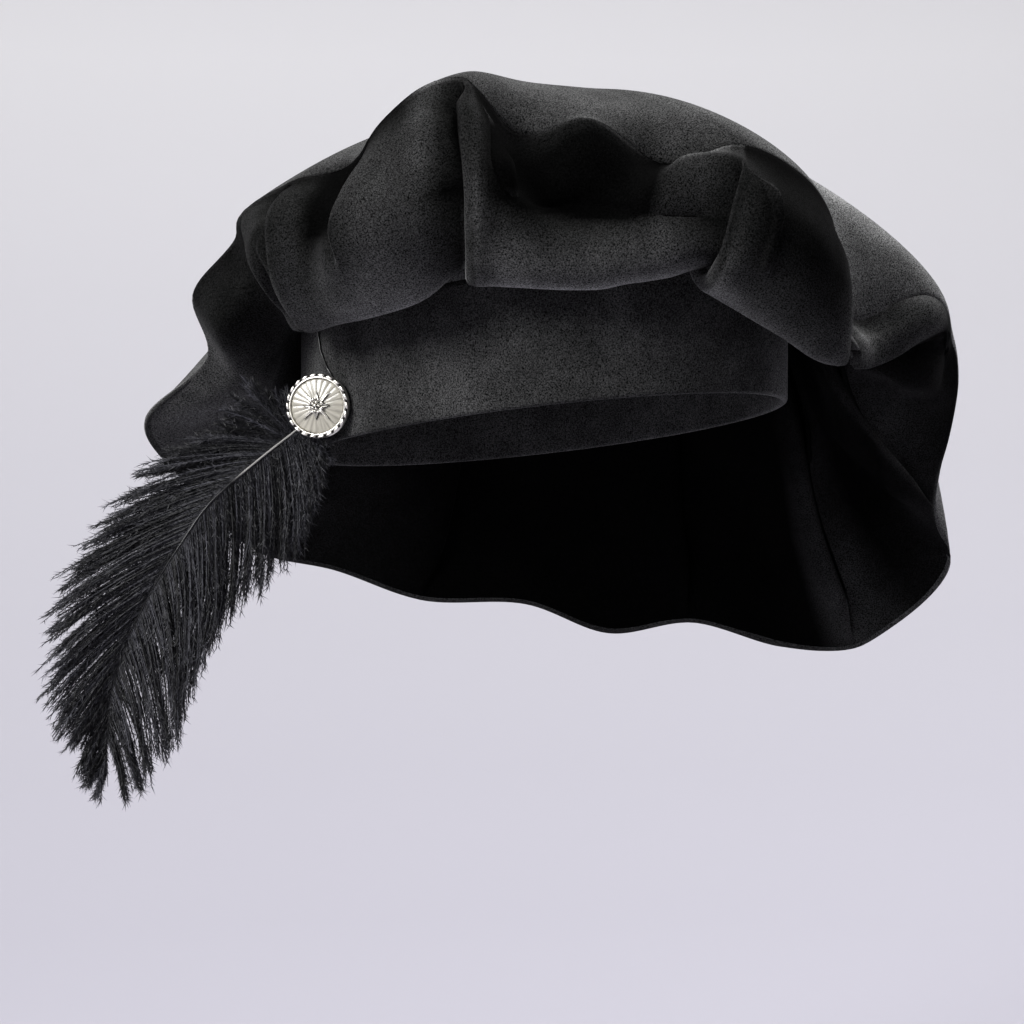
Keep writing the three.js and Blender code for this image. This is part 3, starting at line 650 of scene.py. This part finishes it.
def round_bar(centres, radii, sides):
    """Points and faces of a closed round bar along a path, ending in two points."""
    along = np.gradient(centres, axis=0)
    along /= np.linalg.norm(along, axis=1, keepdims=True)
    across = np.cross(along, (0.0, 1.0, 0.0))
    across /= np.linalg.norm(across, axis=1, keepdims=True)
    upright = np.cross(along, across)
    turn = np.linspace(0, 2 * math.pi, sides, endpoint=False)[None, :, None]
    circles = across[:, None] * np.cos(turn) + upright[:, None] * np.sin(turn)
    rings = centres[:, None] + radii[:, None, None] * circles
    count = len(centres)
    points = np.vstack([rings.reshape(-1, 3), centres[:1], centres[-1:]])
    faces = grid_faces(count, sides, ring=False, tube=True, flip=True)
    last = (count - 1) * sides
    for i in range(sides):
        j = (i + 1) % sides
        faces += [(count * sides, j, i), (last + i, last + j, count * sides + 1)]
    return points, faces


def waxy(name, pale, dyed, streak):
    """Keratin or waxed thread, dyed where its points say so."""
    material, tree, place = new_material(name)
    streaks = noise(tree, place, streak, 3.0, 0.6)
    taken = mapped(tree, maths_node(tree, "ADD", point_value(tree, "dyed"), streaks), 0.7, 1.1)
    finish_material(tree, {"Base Color": mixed(tree, taken, pale, dyed), "Roughness": 0.38, "IOR": 1.54})
    return material


QUILL_RINGS, QUILL_SIDES = 90, 10
quill_places, quill_radii = along_shaft(np.linspace(0, len(SHAFT) - 1, QUILL_RINGS))
quill_points, quill_faces = round_bar(quill_places, quill_radii * QUILL_THINNING, QUILL_SIDES)
quill_material = waxy("grey_quill_keratin", "#8f8d8a", "#0a0a0c", 0.004)
quill = mesh_object("feather_quill_keratin", from_side(quill_points), quill_faces, quill_material)
PALE_TO, DYED_FROM = 2.2, 3.4  # rows of SHAFT
quill_dyed = ease(np.linspace(0, len(SHAFT) - 1, QUILL_RINGS), PALE_TO, DYED_FROM)
set_point_values(quill, "dyed", np.append(np.repeat(quill_dyed, QUILL_SIDES), [0, 1]))
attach(quill, "root")
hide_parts("feather_quill")

# The barbs: long thin strands that leave the shaft on both sides and fall towards the tip, each
# with a fur of fine loose barbules, so the plume is soft and its edge breaks up into pointed locks.
# Each row is one on the left and one on the right: how far down the shaft it leaves, and its tip.
LOCKS = [
    (1.15, (-103, 20), 1.0, (-90, -2)),
    (1.3, (-125, 24), 0.9, (-84, -6)),
    (1.5, (-136, 3), 0.95, (-86, -14)),
    (1.8, (-157, -9), 1.0, (-88, -24)),
    (2.1, (-172, -20), 1.15, (-92, -37)),
    (2.6, (-184, -38), 1.4, (-97, -50)),
    (3.3, (-194, -53), 1.8, (-107, -62)),
    (4.2, (-201, -67), 2.4, (-119, -72)),
    (5.2, (-204, -80), 3.2, (-131, -85)),
    (6.3, (-204, -97), 4.1, (-137, -103)),
    (7.5, (-203, -111), 5.1, (-143, -115)),
    (8.8, (-197, -126), 6.6, (-146, -132)),
    (10.4, (-190, -138), 8.6, (-154, -142)),
    (12.6, (-182, -151), 11.6, (-165, -151)),
]
LEFT_BACK, RIGHT_BACK = 6, -7  # millimetres that the tips lie behind the shaft, or before it
# A barb leaves more across the shaft and droops along it later, by these shares of its way.
KNEE_ACROSS, KNEE_ALONG = 0.58, 0.42
VANE_ROWS, VANE_STEPS = 66, 14


def barb_surface():
    """The surface that the barbs lie in: rows down the shaft, from the left tips to the right ones."""
    rows = np.linspace(0, len(LOCKS) - 1, VANE_ROWS)
    t = np.linspace(0, 1, VANE_STEPS)[None, :, None]
    sides = []
    for first, back in ((0, LEFT_BACK), (2, RIGHT_BACK)):
        table = np.array([(lock[first], *lock[first + 1]) for lock in LOCKS])
        leaves, tip_a, tip_h = (np.interp(rows, np.arange(len(LOCKS)), column) for column in table.T)
        root, radius = along_shaft(leaves)
        heading = along_shaft(leaves + 0.4)[0] - root
        heading /= np.linalg.norm(heading, axis=1, keepdims=True)
        root[:, 1] += radius * 0.5
        tip = np.stack([tip_a, root[:, 1] + back, tip_h], 1)
        forward = heading * np.sum((tip - root) * heading, axis=1, keepdims=True)
        knee = root + (tip - root - forward) * KNEE_ACROSS + forward * KNEE_ALONG
        sides.append((1 - t) ** 2 * root[:, None] + 2 * t * (1 - t) * knee[:, None] + t * t * tip[:, None])
    return np.concatenate([sides[0][:, ::-1], sides[1]], 1)


def put_vane_map(obj, rows, steps):
    """Stores where each point lies in the vane: down the shaft, and from left to right."""
    down, across = np.meshgrid(np.linspace(0, 1, rows), np.linspace(0, 1, steps), indexing="ij")
    corners = np.array([loop.vertex_index for loop in obj.data.loops])
    layer = obj.data.uv_layers.new(name="vane")
    layer.data.foreach_set("uv", np.stack([down.ravel(), across.ravel()], -1)[corners].ravel())


def new_tree(name, sizes):
    """An empty Geometry Nodes tree with named inputs and a geometry output, and its input node's outputs."""
    tree = bpy.data.node_groups.new(name, "GeometryNodeTree")
    tree.interface.new_socket("Geometry", in_out="INPUT", socket_type="NodeSocketGeometry")
    for label, kind in sizes:
        tree.interface.new_socket(label, in_out="INPUT", socket_type=kind)
    tree.interface.new_socket("Geometry", in_out="OUTPUT", socket_type="NodeSocketGeometry")
    return tree, tree.nodes.new("NodeGroupInput").outputs


def grow(obj, tree, sizes):
    """Runs a tree on the object with these input values and keeps the result as plain mesh."""
    modifier = obj.modifiers.new(tree.name, "NODES")
    modifier.node_group = tree
    for item in tree.interface.items_tree:
        if item.in_out == "INPUT" and item.name in sizes:
            modifier[item.identifier] = sizes[item.name]
    apply_modifiers(obj)


# How the barbs lie. The shares are of the vane's width from edge to edge, or of a barb's length.
BARB_START, BARB_REACH = 0.0186, 0.481  # from the vane's middle: where a barb begins, and how far it goes
BARB_SCATTER, BARB_CROWDING = 1.2, 0.8  # in places beside its own; under 1, they crowd at the tip
LOCK_DRIFT, LOCK_DRIFT_SCALE, LOCK_PULL, LOCK_POINT = 3.0, 9.0, 0.6, 0.3
SHORTEST_BARB, SHORTEST_BARBULE, BARBULE_SPLAY, BARB_TAPER = 0.78, 0.45, 0.75, 0.7
WANDER_SCALE, WANDER_REACH = 22.0, 2.2


def barb_tree(material):
    counts, lengths = ("Barbs", "Barb Steps", "Barbules", "Seed"), ("Barb Width", "Locks", "Fluff")
    sockets = [(label, "NodeSocketInt") for label in counts]
    sockets += [(label, "NodeSocketFloat") for label in (*lengths, "Barbule Length", "Barbule Width")]
    tree, given = new_tree("ostrich_barbs", sockets)

    def node(kind, inputs=None, **settings):
        """Adds a node and gives its first output."""
        return add_node(tree, kind, inputs, **settings).outputs[0]

    def maths(operation, *values, **settings):
        return maths_node(tree, operation, *values, **settings)

    def vector_maths(operation, *values):
        return node("ShaderNodeVectorMath", dict(enumerate(values)), operation=operation)

    def scaled(vector, factor):
        return node("ShaderNodeVectorMath", {0: vector, "Scale": factor}, operation="SCALE")

    def chance(low, high, salt):
        """A random number for each element, with a salt of its own."""
        seed = maths("ADD", given["Seed"], salt)
        inputs = {0: (low,) * 3, 1: (high,) * 3, 2: low, 3: high, "Seed": seed}
        return add_node(tree, "FunctionNodeRandomValue", inputs)

    def number(low, high, salt):
        return chance(low, high, salt).outputs[1]

    def vector(low, high, salt):
        drawn = chance(low, high, salt)
        drawn.data_type = "FLOAT_VECTOR"
        return drawn.outputs[0]

    def keep(geometry, name, value):
        return node("GeometryNodeStoreNamedAttribute", {"Geometry": geometry, "Name": name, "Value": value})

    def kept(name, kind="FLOAT"):
        return node("GeometryNodeInputNamedAttribute", {"Name": name}, data_type=kind)

    # One point for each barb, left and right in turn, each with its own place, reach and shade.
    index = node("GeometryNodeInputIndex")
    seeds = node("GeometryNodePoints", {"Count": given["Barbs"]})
    place = maths("DIVIDE", maths("ADD", index, number(-BARB_SCATTER, BARB_SCATTER, 1)), given["Barbs"])
    place = maths("ADD", place, 0.0, use_clamp=True)
    drift = node("ShaderNodeTexNoise", {"W": place, "Scale": LOCK_DRIFT_SCALE}, noise_dimensions="1D")
    warped = maths("ADD", maths("MULTIPLY", place, given["Locks"]), maths("MULTIPLY", drift, LOCK_DRIFT))
    lock = maths("DIVIDE", maths("SUBTRACT", 0.5, maths("FRACT", warped)), given["Locks"])
    off_middle = maths("ABSOLUTE", maths("MULTIPLY", lock, given["Locks"]))
    longest = maths("SUBTRACT", 1.0, maths("MULTIPLY", off_middle, LOCK_POINT))
    shade = number(0.0, 1.0, 4)
    for name, value in (
        ("place", maths("POWER", place, BARB_CROWDING)),
        ("lock", lock),
        ("side", maths("SUBTRACT", maths("MULTIPLY", maths("MODULO", index, 2), 2), 1)),
        ("reach", maths("MULTIPLY", number(SHORTEST_BARB, 1.0, 2), longest)),
        ("shade", maths("MULTIPLY", shade, shade)),
        ("layer", number(-1.0, 1.0, 5)),
    ):
        seeds = keep(seeds, name, value)
    strand = node("GeometryNodeCurvePrimitiveLine", {"End": (1.0, 0.0, 0.0)})
    strand = node("GeometryNodeResampleCurve", {"Curve": strand, "Count": given["Barb Steps"]})
    strands = node("GeometryNodeInstanceOnPoints", {"Points": seeds, "Instance": strand})
    strands = node("GeometryNodeRealizeInstances", {"Geometry": strands})

    # Each barb is laid on the vane's surface, drawn towards the middle of its lock, and fluffed.
    along = node("GeometryNodeSplineParameter")
    drawn_in = maths("MULTIPLY", maths("POWER", along, 2.0), LOCK_PULL)
    down = maths("ADD", kept("place"), maths("MULTIPLY", kept("lock"), drawn_in))
    out = maths("ADD", maths("MULTIPLY", maths("MULTIPLY", along, kept("reach")), BARB_REACH), BARB_START)
    out = maths("ADD", maths("MULTIPLY", out, kept("side")), 0.5)
    where = node("ShaderNodeCombineXYZ", {"X": down, "Y": out})
    where = vector_maths("MAXIMUM", where, (0.001, 0.001, 0.0))
    where = vector_maths("MINIMUM", where, (0.999, 0.999, 1.0))
    on_vane = {"Mesh": given["Geometry"], "Value": node("GeometryNodeInputPosition")}
    on_vane |= {"UV Map": kept("vane", "FLOAT_VECTOR"), "Sample UV": where}
    spot = node("GeometryNodeSampleUVSurface", on_vane, data_type="FLOAT_VECTOR")
    laid = node("GeometryNodeSetPosition", {"Geometry": strands, "Position": spot})
    wander = {"W": maths("MULTIPLY", kept("shade"), 40), "Scale": WANDER_SCALE, "Detail": 2.0}
    wander = add_node(tree, "ShaderNodeTexNoise", wander, noise_dimensions="4D").outputs["Color"]
    wander = vector_maths("SUBTRACT", wander, (0.5, 0.5, 0.5))
    loose = maths("MULTIPLY", along, given["Fluff"])
    wander = scaled(wander, maths("MULTIPLY", loose, WANDER_REACH))
    behind = scaled(tuple(VIEW_AWAY), maths("MULTIPLY", kept("layer"), loose))
    laid = node("GeometryNodeSetPosition", {"Geometry": laid, "Offset": vector_maths("ADD", wander, behind)})
    taper = maths("SUBTRACT", 1.0, maths("MULTIPLY", along, BARB_TAPER))
    width = maths("MULTIPLY", maths("MULTIPLY", given["Barb Width"], 0.5), taper)
    section = node("GeometryNodeCurvePrimitiveCircle", {"Resolution": 3, "Radius": 1.0})
    barb = {"Curve": laid, "Profile Curve": section, "Scale": width, "Fill Caps": True}

    # The barbules: one thin pointed blade each, leaning towards the barb's tip.
    blade = node("GeometryNodeMeshCircle", {"Vertices": 3, "Radius": 1.0}, fill_type="NGON")
    pointed = {"Geometry": blade, "Translation": (1 / 3, 0, 0), "Scale": (2 / 3, 0.577, 1.0)}
    blade = node("GeometryNodeTransform", pointed)
    spaced = {"Curve": laid, "Count": given["Barbules"]}
    fur = add_node(tree, "GeometryNodeCurveToPoints", spaced, mode="COUNT")
    splay = vector_maths("MULTIPLY", vector(-1.0, 1.0, 11), (BARBULE_SPLAY,) * 3)
    lean = vector_maths("ADD", fur.outputs["Tangent"], splay)
    rolled = node("FunctionNodeEulerToRotation", {0: vector(0.0, 6.28, 12)})
    aligned = node("FunctionNodeAlignRotationToVector", {"Rotation": rolled, "Vector": lean}, axis="X")
    length = maths("MULTIPLY", given["Barbule Length"], number(SHORTEST_BARBULE, 1.0, 13))
    size = node("ShaderNodeCombineXYZ", {"X": length, "Y": given["Barbule Width"], "Z": 1.0})
    barbule = {"Points": fur.outputs["Points"], "Instance": blade, "Rotation": aligned, "Scale": size}
    both = tree.nodes.new("GeometryNodeJoinGeometry")
    tree.links.new(node("GeometryNodeCurveToMesh", barb), both.inputs[0])
    tree.links.new(node("GeometryNodeInstanceOnPoints", barbule), both.inputs[0])
    realised = node("GeometryNodeRealizeInstances", {"Geometry": both.outputs[0]})
    finished = node("GeometryNodeSetMaterial", {"Geometry": realised, "Material": material})
    add_node(tree, "NodeGroupOutput", {"Geometry": finished})
    return tree


def dyed_barbs(name, dark, pale):
    material, tree, _ = new_material(name)
    colour = mixed(tree, point_value(tree, "shade"), dark, pale)
    finish_material(tree, {"Base Color": colour, "Roughness": 0.55, "IOR": 1.54, "Specular IOR Level": 0.3})
    return material


vane = barb_surface()
vane_steps = vane.shape[1]
vane_faces = grid_faces(VANE_ROWS, vane_steps, ring=False, flip=True)
barb_material = dyed_barbs("black_dyed_ostrich_barbs", "#050507", "#36363c")
barbs = mesh_object("feather_barbs_ostrich", from_side(vane.reshape(-1, 3)), vane_faces, barb_material)
put_vane_map(barbs, VANE_ROWS, vane_steps)
barb_sizes = {"Barbs": 1150, "Barb Steps": 8, "Barb Width": 0.0009, "Locks": 23.0, "Fluff": 0.0065}
barb_sizes |= {"Barbules": 112, "Barbule Length": 0.0042, "Barbule Width": 0.00036, "Seed": 7}
grow(barbs, barb_tree(barb_material), barb_sizes)
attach(barbs, "root")
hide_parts("feather_barbs")

# The brooch: a round cup cast in white metal and silvered, with a rope rim and a star of eight rays
# set with small beads; the hollows have blackened, darkened further by painted shade, and the high
# parts are worn bright. The pin on its back goes into the band, and it holds down the feather's shaft.
BROOCH_AT, BROOCH_TURN, BROOCH_TILT = (-89.8, -46, 11.4), math.radians(-14), math.radians(4)
CUP_PROFILE = [(0, -3.2), (11.4, -3.2), (12.3, -3.0), (12.9, -2.4), (13.05, -1.6), (12.95, -0.6)]
CUP_PROFILE += [(12.6, 0.0), (11.8, 0.05), (11.55, 0.4), (11.2, 0.35), (11.1, -0.1), (11.1, -2.0)]
CUP_PROFILE += [(1.0, -2.0), (0.95, 1.3), (0, 1.5)]
ROPE_REACH, ROPE_HEIGHT, ROPE_STRANDS = 12.3, 0.05, 22
PIN_UP, PIN_START, PIN_LENGTH, PIN_RADIUS = 3.6, -3.0, 7.2, 1.2
# Rays: reach, half width at the foot, height at the foot and whether they are hollowed.
LONG_RAY, SHORT_RAY = (7.6, 0.85, 1.2, 0.5), (5.6, 1.5, 1.1, 0.6)
RAY_FOOT, RAY_UNDER, STAR_END = 1.4, 0.75, 9


def from_brooch(points_mm):
    """Points in the brooch's own frame, z out of its face, laid out in the side view."""
    turn = Matrix.Rotation(math.pi / 2 - BROOCH_TILT, 3, "X") @ Matrix.Rotation(BROOCH_TURN, 3, "Y")
    return np.asarray(points_mm, float) @ np.array(turn).T + BROOCH_AT


def turned(profile, segments):
    """Points and faces of a profile, from axis to axis, turned about z."""
    middle = profile[1:-1]
    angle = np.linspace(0, 2 * math.pi, segments, endpoint=False)
    points = [(r * math.cos(a), r * math.sin(a), z) for a in angle for r, z in middle]
    points += [(0, 0, profile[0][1]), (0, 0, profile[-1][1])]
    steps, start, end = len(middle), len(points) - 2, len(points) - 1
    faces = grid_faces(segments, steps)
    for i in range(segments):
        a, b = i * steps, (i + 1) % segments * steps
        faces += [(start, b, a), (a + steps - 1, b + steps - 1, end)]
    return points, faces


def ray(reach, half_width, height, hollow, angle):
    """One pointed ray: a ridge on each side of a shallow groove, on a flat back."""
    rings = []
    for share in (0, 0.3, 0.6, 0.85, 1):
        r = RAY_FOOT + (reach - RAY_FOOT) * share
        w = half_width * (1 - share) ** 0.8 + 0.08
        h = height * (1 - 0.65 * share)
        section = [(-w, 0), (-w * 0.75, h * 0.8), (-w * 0.45, h), (0, h * (1 - hollow))]
        section += [(w * 0.45, h), (w * 0.75, h * 0.8), (w, 0)]
        rings.append([(r, across, RAY_UNDER + up) for across, up in section])
    cos, sin = math.cos(angle), math.sin(angle)
    points = [(x * cos - y * sin, x * sin + y * cos, z) for ring in rings for x, y, z in ring]
    width = len(rings[0])
    faces = grid_faces(len(rings), width, ring=False, tube=True)
    faces += [tuple(range(width)), tuple(reversed(range(len(points) - width, len(points))))]
    return points, faces


def joined(pieces):
    """Several lists of points and faces as one."""
    points, faces = [], []
    for more_points, more_faces in pieces:
        faces += [tuple(len(points) + i for i in face) for face in more_faces]
        points += [tuple(point) for point in more_points]
    return points, faces


def bead_ring_tree():
    """Adds a ring of long beads to a mesh, each leaning against the next, as a cast rope has them."""
    lengths = ("Reach", "Height", "Bead Length", "Bead Width", "Lean", "First Turn")
    sockets = [("Beads", "NodeSocketInt")] + [(label, "NodeSocketFloat") for label in lengths]
    tree, given = new_tree("bead_ring", sockets)

    def node(kind, inputs=None):
        return add_node(tree, kind, inputs).outputs[0]

    def maths(operation, *values):
        return maths_node(tree, operation, *values)

    share = maths("DIVIDE", node("GeometryNodeInputIndex"), given["Beads"])
    turn = maths("MULTIPLY_ADD", share, 2 * math.pi, given["First Turn"])
    across = maths("MULTIPLY", maths("COSINE", turn), given["Reach"])
    along = maths("MULTIPLY", maths("SINE", turn), given["Reach"])
    place = node("ShaderNodeCombineXYZ", {"X": across, "Y": along, "Z": given["Height"]})
    seeds = node("GeometryNodePoints", {"Count": given["Beads"]})
    placed = node("GeometryNodeSetPosition", {"Geometry": seeds, "Position": place})
    bead = node("GeometryNodeMeshUVSphere", {"Segments": 16, "Rings": 10, "Radius": 0.5})
    heading = maths("ADD", maths("ADD", turn, math.pi / 2), given["Lean"])
    rotation = node("ShaderNodeCombineXYZ", {"Z": heading})
    size = {"X": given["Bead Length"], "Y": given["Bead Width"], "Z": given["Bead Width"]}
    size = node("ShaderNodeCombineXYZ", size)
    beads = {"Points": placed, "Instance": bead, "Rotation": rotation, "Scale": size}
    both = tree.nodes.new("GeometryNodeJoinGeometry")
    tree.links.new(given["Geometry"], both.inputs[0])
    tree.links.new(node("GeometryNodeInstanceOnPoints", beads), both.inputs[0])
    realised = node("GeometryNodeRealizeInstances", {"Geometry": both.outputs[0]})
    smooth = node("GeometryNodeSetShadeSmooth", {"Geometry": realised})
    finished = node("GeometryNodeSetMaterial", {"Geometry": smooth, "Material": silver})
    add_node(tree, "NodeGroupOutput", {"Geometry": finished})
    return tree


def silvered_casting(name, bright, blackened_and_painted_shade, sand):
    material, tree, place = new_material(name)
    # The skin of a sand casting under the plating, as grains of the moulding sand.
    grains = noise(tree, place, sand, 3.0, 0.6)
    # Tarnish and painted shade, from the hollow attribute and the sand grains, darken the plating.
    tarnish_and_painted_shade = maths_node(tree, "ADD", point_value(tree, "hollow"), maths_node(tree, "MULTIPLY", grains, 0.5))
    tarnish_and_painted_shade = mapped(tree, tarnish_and_painted_shade, 0.45, 1.15)
    inputs = {"Base Color": mixed(tree, tarnish_and_painted_shade, bright, blackened_and_painted_shade), "Metallic": 1.0}
    inputs |= {"Roughness": mapped(tree, tarnish_and_painted_shade, 0.0, 1.0, 0.34, 0.55)}
    finish_material(tree, inputs | {"Normal": bump(tree, grains, 0.3, 0.00005)})
    return material


def seat_brooch_piece(obj):
    """Moves a mesh from the brooch's own frame to its place on the band. Gives its points as they
    were, in millimetres."""
    local = np.empty(len(obj.data.vertices) * 3)
    obj.data.vertices.foreach_get("co", local)
    local = local.reshape(-1, 3) * 1000
    obj.data.vertices.foreach_set("co", from_side(from_brooch(local)).ravel())
    obj.data.update()
    return local


silver = silvered_casting("silvered_white_metal", "#e3e0d8", "#1d1b19", 0.0003)
pin_line = np.array([(0, PIN_UP, PIN_START - PIN_LENGTH * step / 4) for step in range(5)], float)
pin = round_bar(pin_line, np.full(5, PIN_RADIUS), 12)
rays = [ray(*(LONG_RAY if turn % 2 else SHORT_RAY), turn * math.pi / 4) for turn in range(8)]
setting_points, setting_faces = joined([turned(CUP_PROFILE, 96), pin] + rays)
setting = mesh_object("brooch_setting_silver", np.array(setting_points) / 1000, setting_faces, silver)
rings = bead_ring_tree()
MM = 0.001
for beads, reach, height, length, width, lean, first in (
    (ROPE_STRANDS, ROPE_REACH, ROPE_HEIGHT, 3.5, 1.4, 0.1, 0),
    (8, 2.7, 1.8, 1.4, 1.15, 0, math.pi / 8),
    (5, 1.35, 2.3, 1.3, 1.2, 0, 0),
    (1, 0, 2.8, 1.4, 1.4, 0, 0),
):
    bead_sizes = {"Beads": beads, "Reach": reach * MM, "Height": height * MM, "Bead Length": length * MM}
    bead_sizes |= {"Bead Width": width * MM, "Lean": float(lean), "First Turn": float(first)}
    grow(setting, rings, bead_sizes)
local = seat_brooch_piece(setting)
# The rope and the tops of the star are bright, and what lies lower is blackened, by tarnish and by painted
# shade.
reach = np.hypot(local[:, 0], local[:, 1])
from_rope = np.hypot(reach - ROPE_REACH, local[:, 2] - ROPE_HEIGHT)
on_rim = 1 - ease(from_rope, 0.4, 0.66)
ridge = 1.3 - 0.12 * reach
on_star = 1 - 0.75 * ease((local[:, 2] - RAY_UNDER) / ridge, 0.45, 0.95)
set_point_values(setting, "hollow", np.where(reach > STAR_END, on_rim, on_star))
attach(setting, "root")
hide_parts("brooch_setting")

# A loop of black waxed thread, which ties the pin inside the band, shows above the brooch.
THREAD = [(-66, 25), (-69.5, 31), (-72.5, 38), (-74, 46), (-74, 51)]  # turn and height on the band
THREAD_RADIUS, THREAD_OUT = 0.5, 0.7
thread_path = np.array([band_point(turn, BAND_WALL + THREAD_OUT, height) for turn, height in THREAD])
thread_points, thread_faces = round_bar(thread_path, np.full(len(THREAD), THREAD_RADIUS), 8)
waxed_thread = waxy("black_waxed_thread", "#040404", "#020202", 0.002)
thread = mesh_object("brooch_thread", from_side(thread_points), thread_faces, waxed_thread)
set_point_values(thread, "dyed", np.ones(len(thread.data.vertices)))
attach(thread, "root")

# The disc in the cup: a slice of mother of pearl, carved in 24 flutes and polished. Nacre is creamy,
# with silky streaks along the flutes and a soft gloss over a little depth.
DISC_RADIUS, DISC_HOLE, DISC_BACK, DISC_EDGE, DISC_MIDDLE = 10.9, 1.3, -1.7, -0.3, 0.65
FLUTES, FLUTE_DEPTH = 24, 0.2
DISC_SPOKES, DISC_RINGS = FLUTES * 12, 14


def disc_shape():
    angle = np.linspace(0, 2 * math.pi, DISC_SPOKES, endpoint=False)[:, None]
    share = np.linspace(0, 1, DISC_RINGS)[None, :]
    radius = DISC_HOLE + (DISC_RADIUS - DISC_HOLE) * share
    groove_and_painted_shade = 1 - np.abs(np.sin(angle * FLUTES / 2)) ** 0.7
    height = DISC_MIDDLE + (DISC_EDGE - DISC_MIDDLE) * share**2 - FLUTE_DEPTH * groove_and_painted_shade * (0.25 + 0.75 * share)
    face = np.stack([np.cos(angle) * radius, np.sin(angle) * radius, height], -1)
    back_edge = face[:, -1:] * (1, 1, 0) + (0, 0, DISC_BACK)
    back_hole = face[:, :1] * (1, 1, 0) + (0, 0, DISC_BACK)
    streak = np.stack(np.broadcast_arrays(angle / (2 * math.pi), share, groove_and_painted_shade), -1)
    return np.concatenate([face, back_edge, back_hole], 1), streak


def nacre(name, pale, grey, streak_width):
    material, tree, _ = new_material(name)
    lie = add_node(tree, "ShaderNodeUVMap", uv_map="flutes").outputs["UV"]
    # Growth layers cut across by the carving: streaks along each flute, half a flute wide.
    stretched = {"Vector": lie, "Scale": (1 / streak_width, 1.6, 1.0)}
    streaks = noise(tree, add_node(tree, "ShaderNodeMapping", stretched).outputs["Vector"], 1.0, 3.0, 0.55)
    shade = maths_node(tree, "MULTIPLY", mapped(tree, streaks, 0.35, 0.7), 0.6)
    # Painted shade: the colour darkens towards grey down each flute's groove.
    groove_and_painted_shade = maths_node(tree, "MULTIPLY", point_value(tree, "groove_and_painted_shade"), 0.4)
    colour = mixed(tree, maths_node(tree, "ADD", groove_and_painted_shade, shade, use_clamp=True), pale, grey)
    inputs = {"Base Color": colour, "Roughness": 0.3, "IOR": 1.53, "Coat Weight": 0.3, "Coat Roughness": 0.12}
    finish_material(tree, inputs | {"Normal": bump(tree, streaks, 0.35, 0.0002)})
    return material


disc_points, disc_streaks = disc_shape()
disc_steps = disc_points.shape[1]
disc_faces = grid_faces(DISC_SPOKES, disc_steps, tube=True, flip=True)
pearl = nacre("mother_of_pearl", "#a5a195", "#6f6c63", 0.02)
disc = mesh_object("brooch_disc_pearl", disc_points.reshape(-1, 3) / 1000, disc_faces, pearl)
flute_map = disc.data.uv_layers.new(name="flutes")
for loop in disc.data.loops:
    spoke, step = divmod(loop.vertex_index, disc_steps)
    u, v, _ = disc_streaks[spoke, min(step, DISC_RINGS - 1)]
    flute_map.data[loop.index].uv = (u, v)
# The grooves' painted shade, stored on the disc's points.
painted_groove_shade = np.zeros((DISC_SPOKES, disc_steps))
painted_groove_shade[:, :DISC_RINGS] = disc_streaks[:, :, 2]
set_point_values(disc, "groove_and_painted_shade", painted_groove_shade.ravel())
seat_brooch_piece(disc)
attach(disc, "root")
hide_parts("brooch_disc")

# A pale seamless floor of paper, with painted shade that darkens it downwards, and soft studio light.
FLOOR, COVE_RADIUS, COVE_BEND, COVE_TOP, COVE_SIDES = -0.42, 3.2, 2.6, 3.4, 96
paper, tree, place = new_material("pale_studio_paper")
height = add_node(tree, "ShaderNodeSeparateXYZ", {"Vector": place}).outputs["Z"]
painted_shade_grade = mixed(tree, mapped(tree, height, FLOOR, 0.45), "#97959e", "#bdbcbf")
finish_material(tree, {"Base Color": painted_shade_grade, "Roughness": 0.9})
cove_profile = [(0.02, FLOOR), (0.5, FLOOR)]
for angle in np.linspace(0, math.pi / 2, 13):
    reach = COVE_RADIUS - COVE_BEND + COVE_BEND * math.sin(angle)
    cove_profile.append((reach, FLOOR + COVE_BEND - COVE_BEND * math.cos(angle)))
cove_profile.append((COVE_RADIUS, COVE_TOP))
cove_points = []
for angle in np.linspace(0, 2 * math.pi, COVE_SIDES, endpoint=False):
    cove_points += [(r * math.cos(angle), r * math.sin(angle), z) for r, z in cove_profile]
cove_faces = grid_faces(COVE_SIDES, len(cove_profile), flip=True)
cove_faces.append(tuple(range(0, len(cove_points), len(cove_profile))))
floor = mesh_object("floor", cove_points, cove_faces, paper)

world = bpy.data.worlds.new("studio")
bpy.context.scene.world = world
world.use_nodes = True
world.node_tree.nodes["Background"].inputs["Color"].default_value = linear("#eeeef4")
world.node_tree.nodes["Background"].inputs["Strength"].default_value = 0.08


def softbox(name, right, away, up, size, power, aim=(0, 0, 0)):
    """A square light at a place in metres in the side view, aimed at another one."""
    light = bpy.data.lights.new(name, "AREA")
    light.size = size
    light.energy = power
    lamp = bpy.data.objects.new(name, light)
    ends = ((right, away, up), aim)
    place, target = (VIEW_RIGHT * x + VIEW_AWAY * y + Vector((0, 0, z)) for x, y, z in ends)
    lamp.location = place
    lamp.rotation_mode = "QUATERNION"
    lamp.rotation_quaternion = (target - place).to_track_quat("-Z", "Y")
    bpy.context.scene.collection.objects.link(lamp)


softbox("softbox_over", 0.3, 0.4, 1.5, 0.9, 24)
softbox("softbox_left", -1.1, -1.1, 0.8, 0.7, 45)
softbox("softbox_right", 1.3, 0.4, 0.9, 0.7, 16)
softbox("backdrop_light_behind", 0, 0.7, 2.0, 1.5, 55, (0, 3.2, 0.1))
softbox("backdrop_light_front", 0, -0.7, 2.2, 1.5, 12, (0, -3.2, 0.1))
bpy.context.scene.view_settings.view_transform = "Standard"
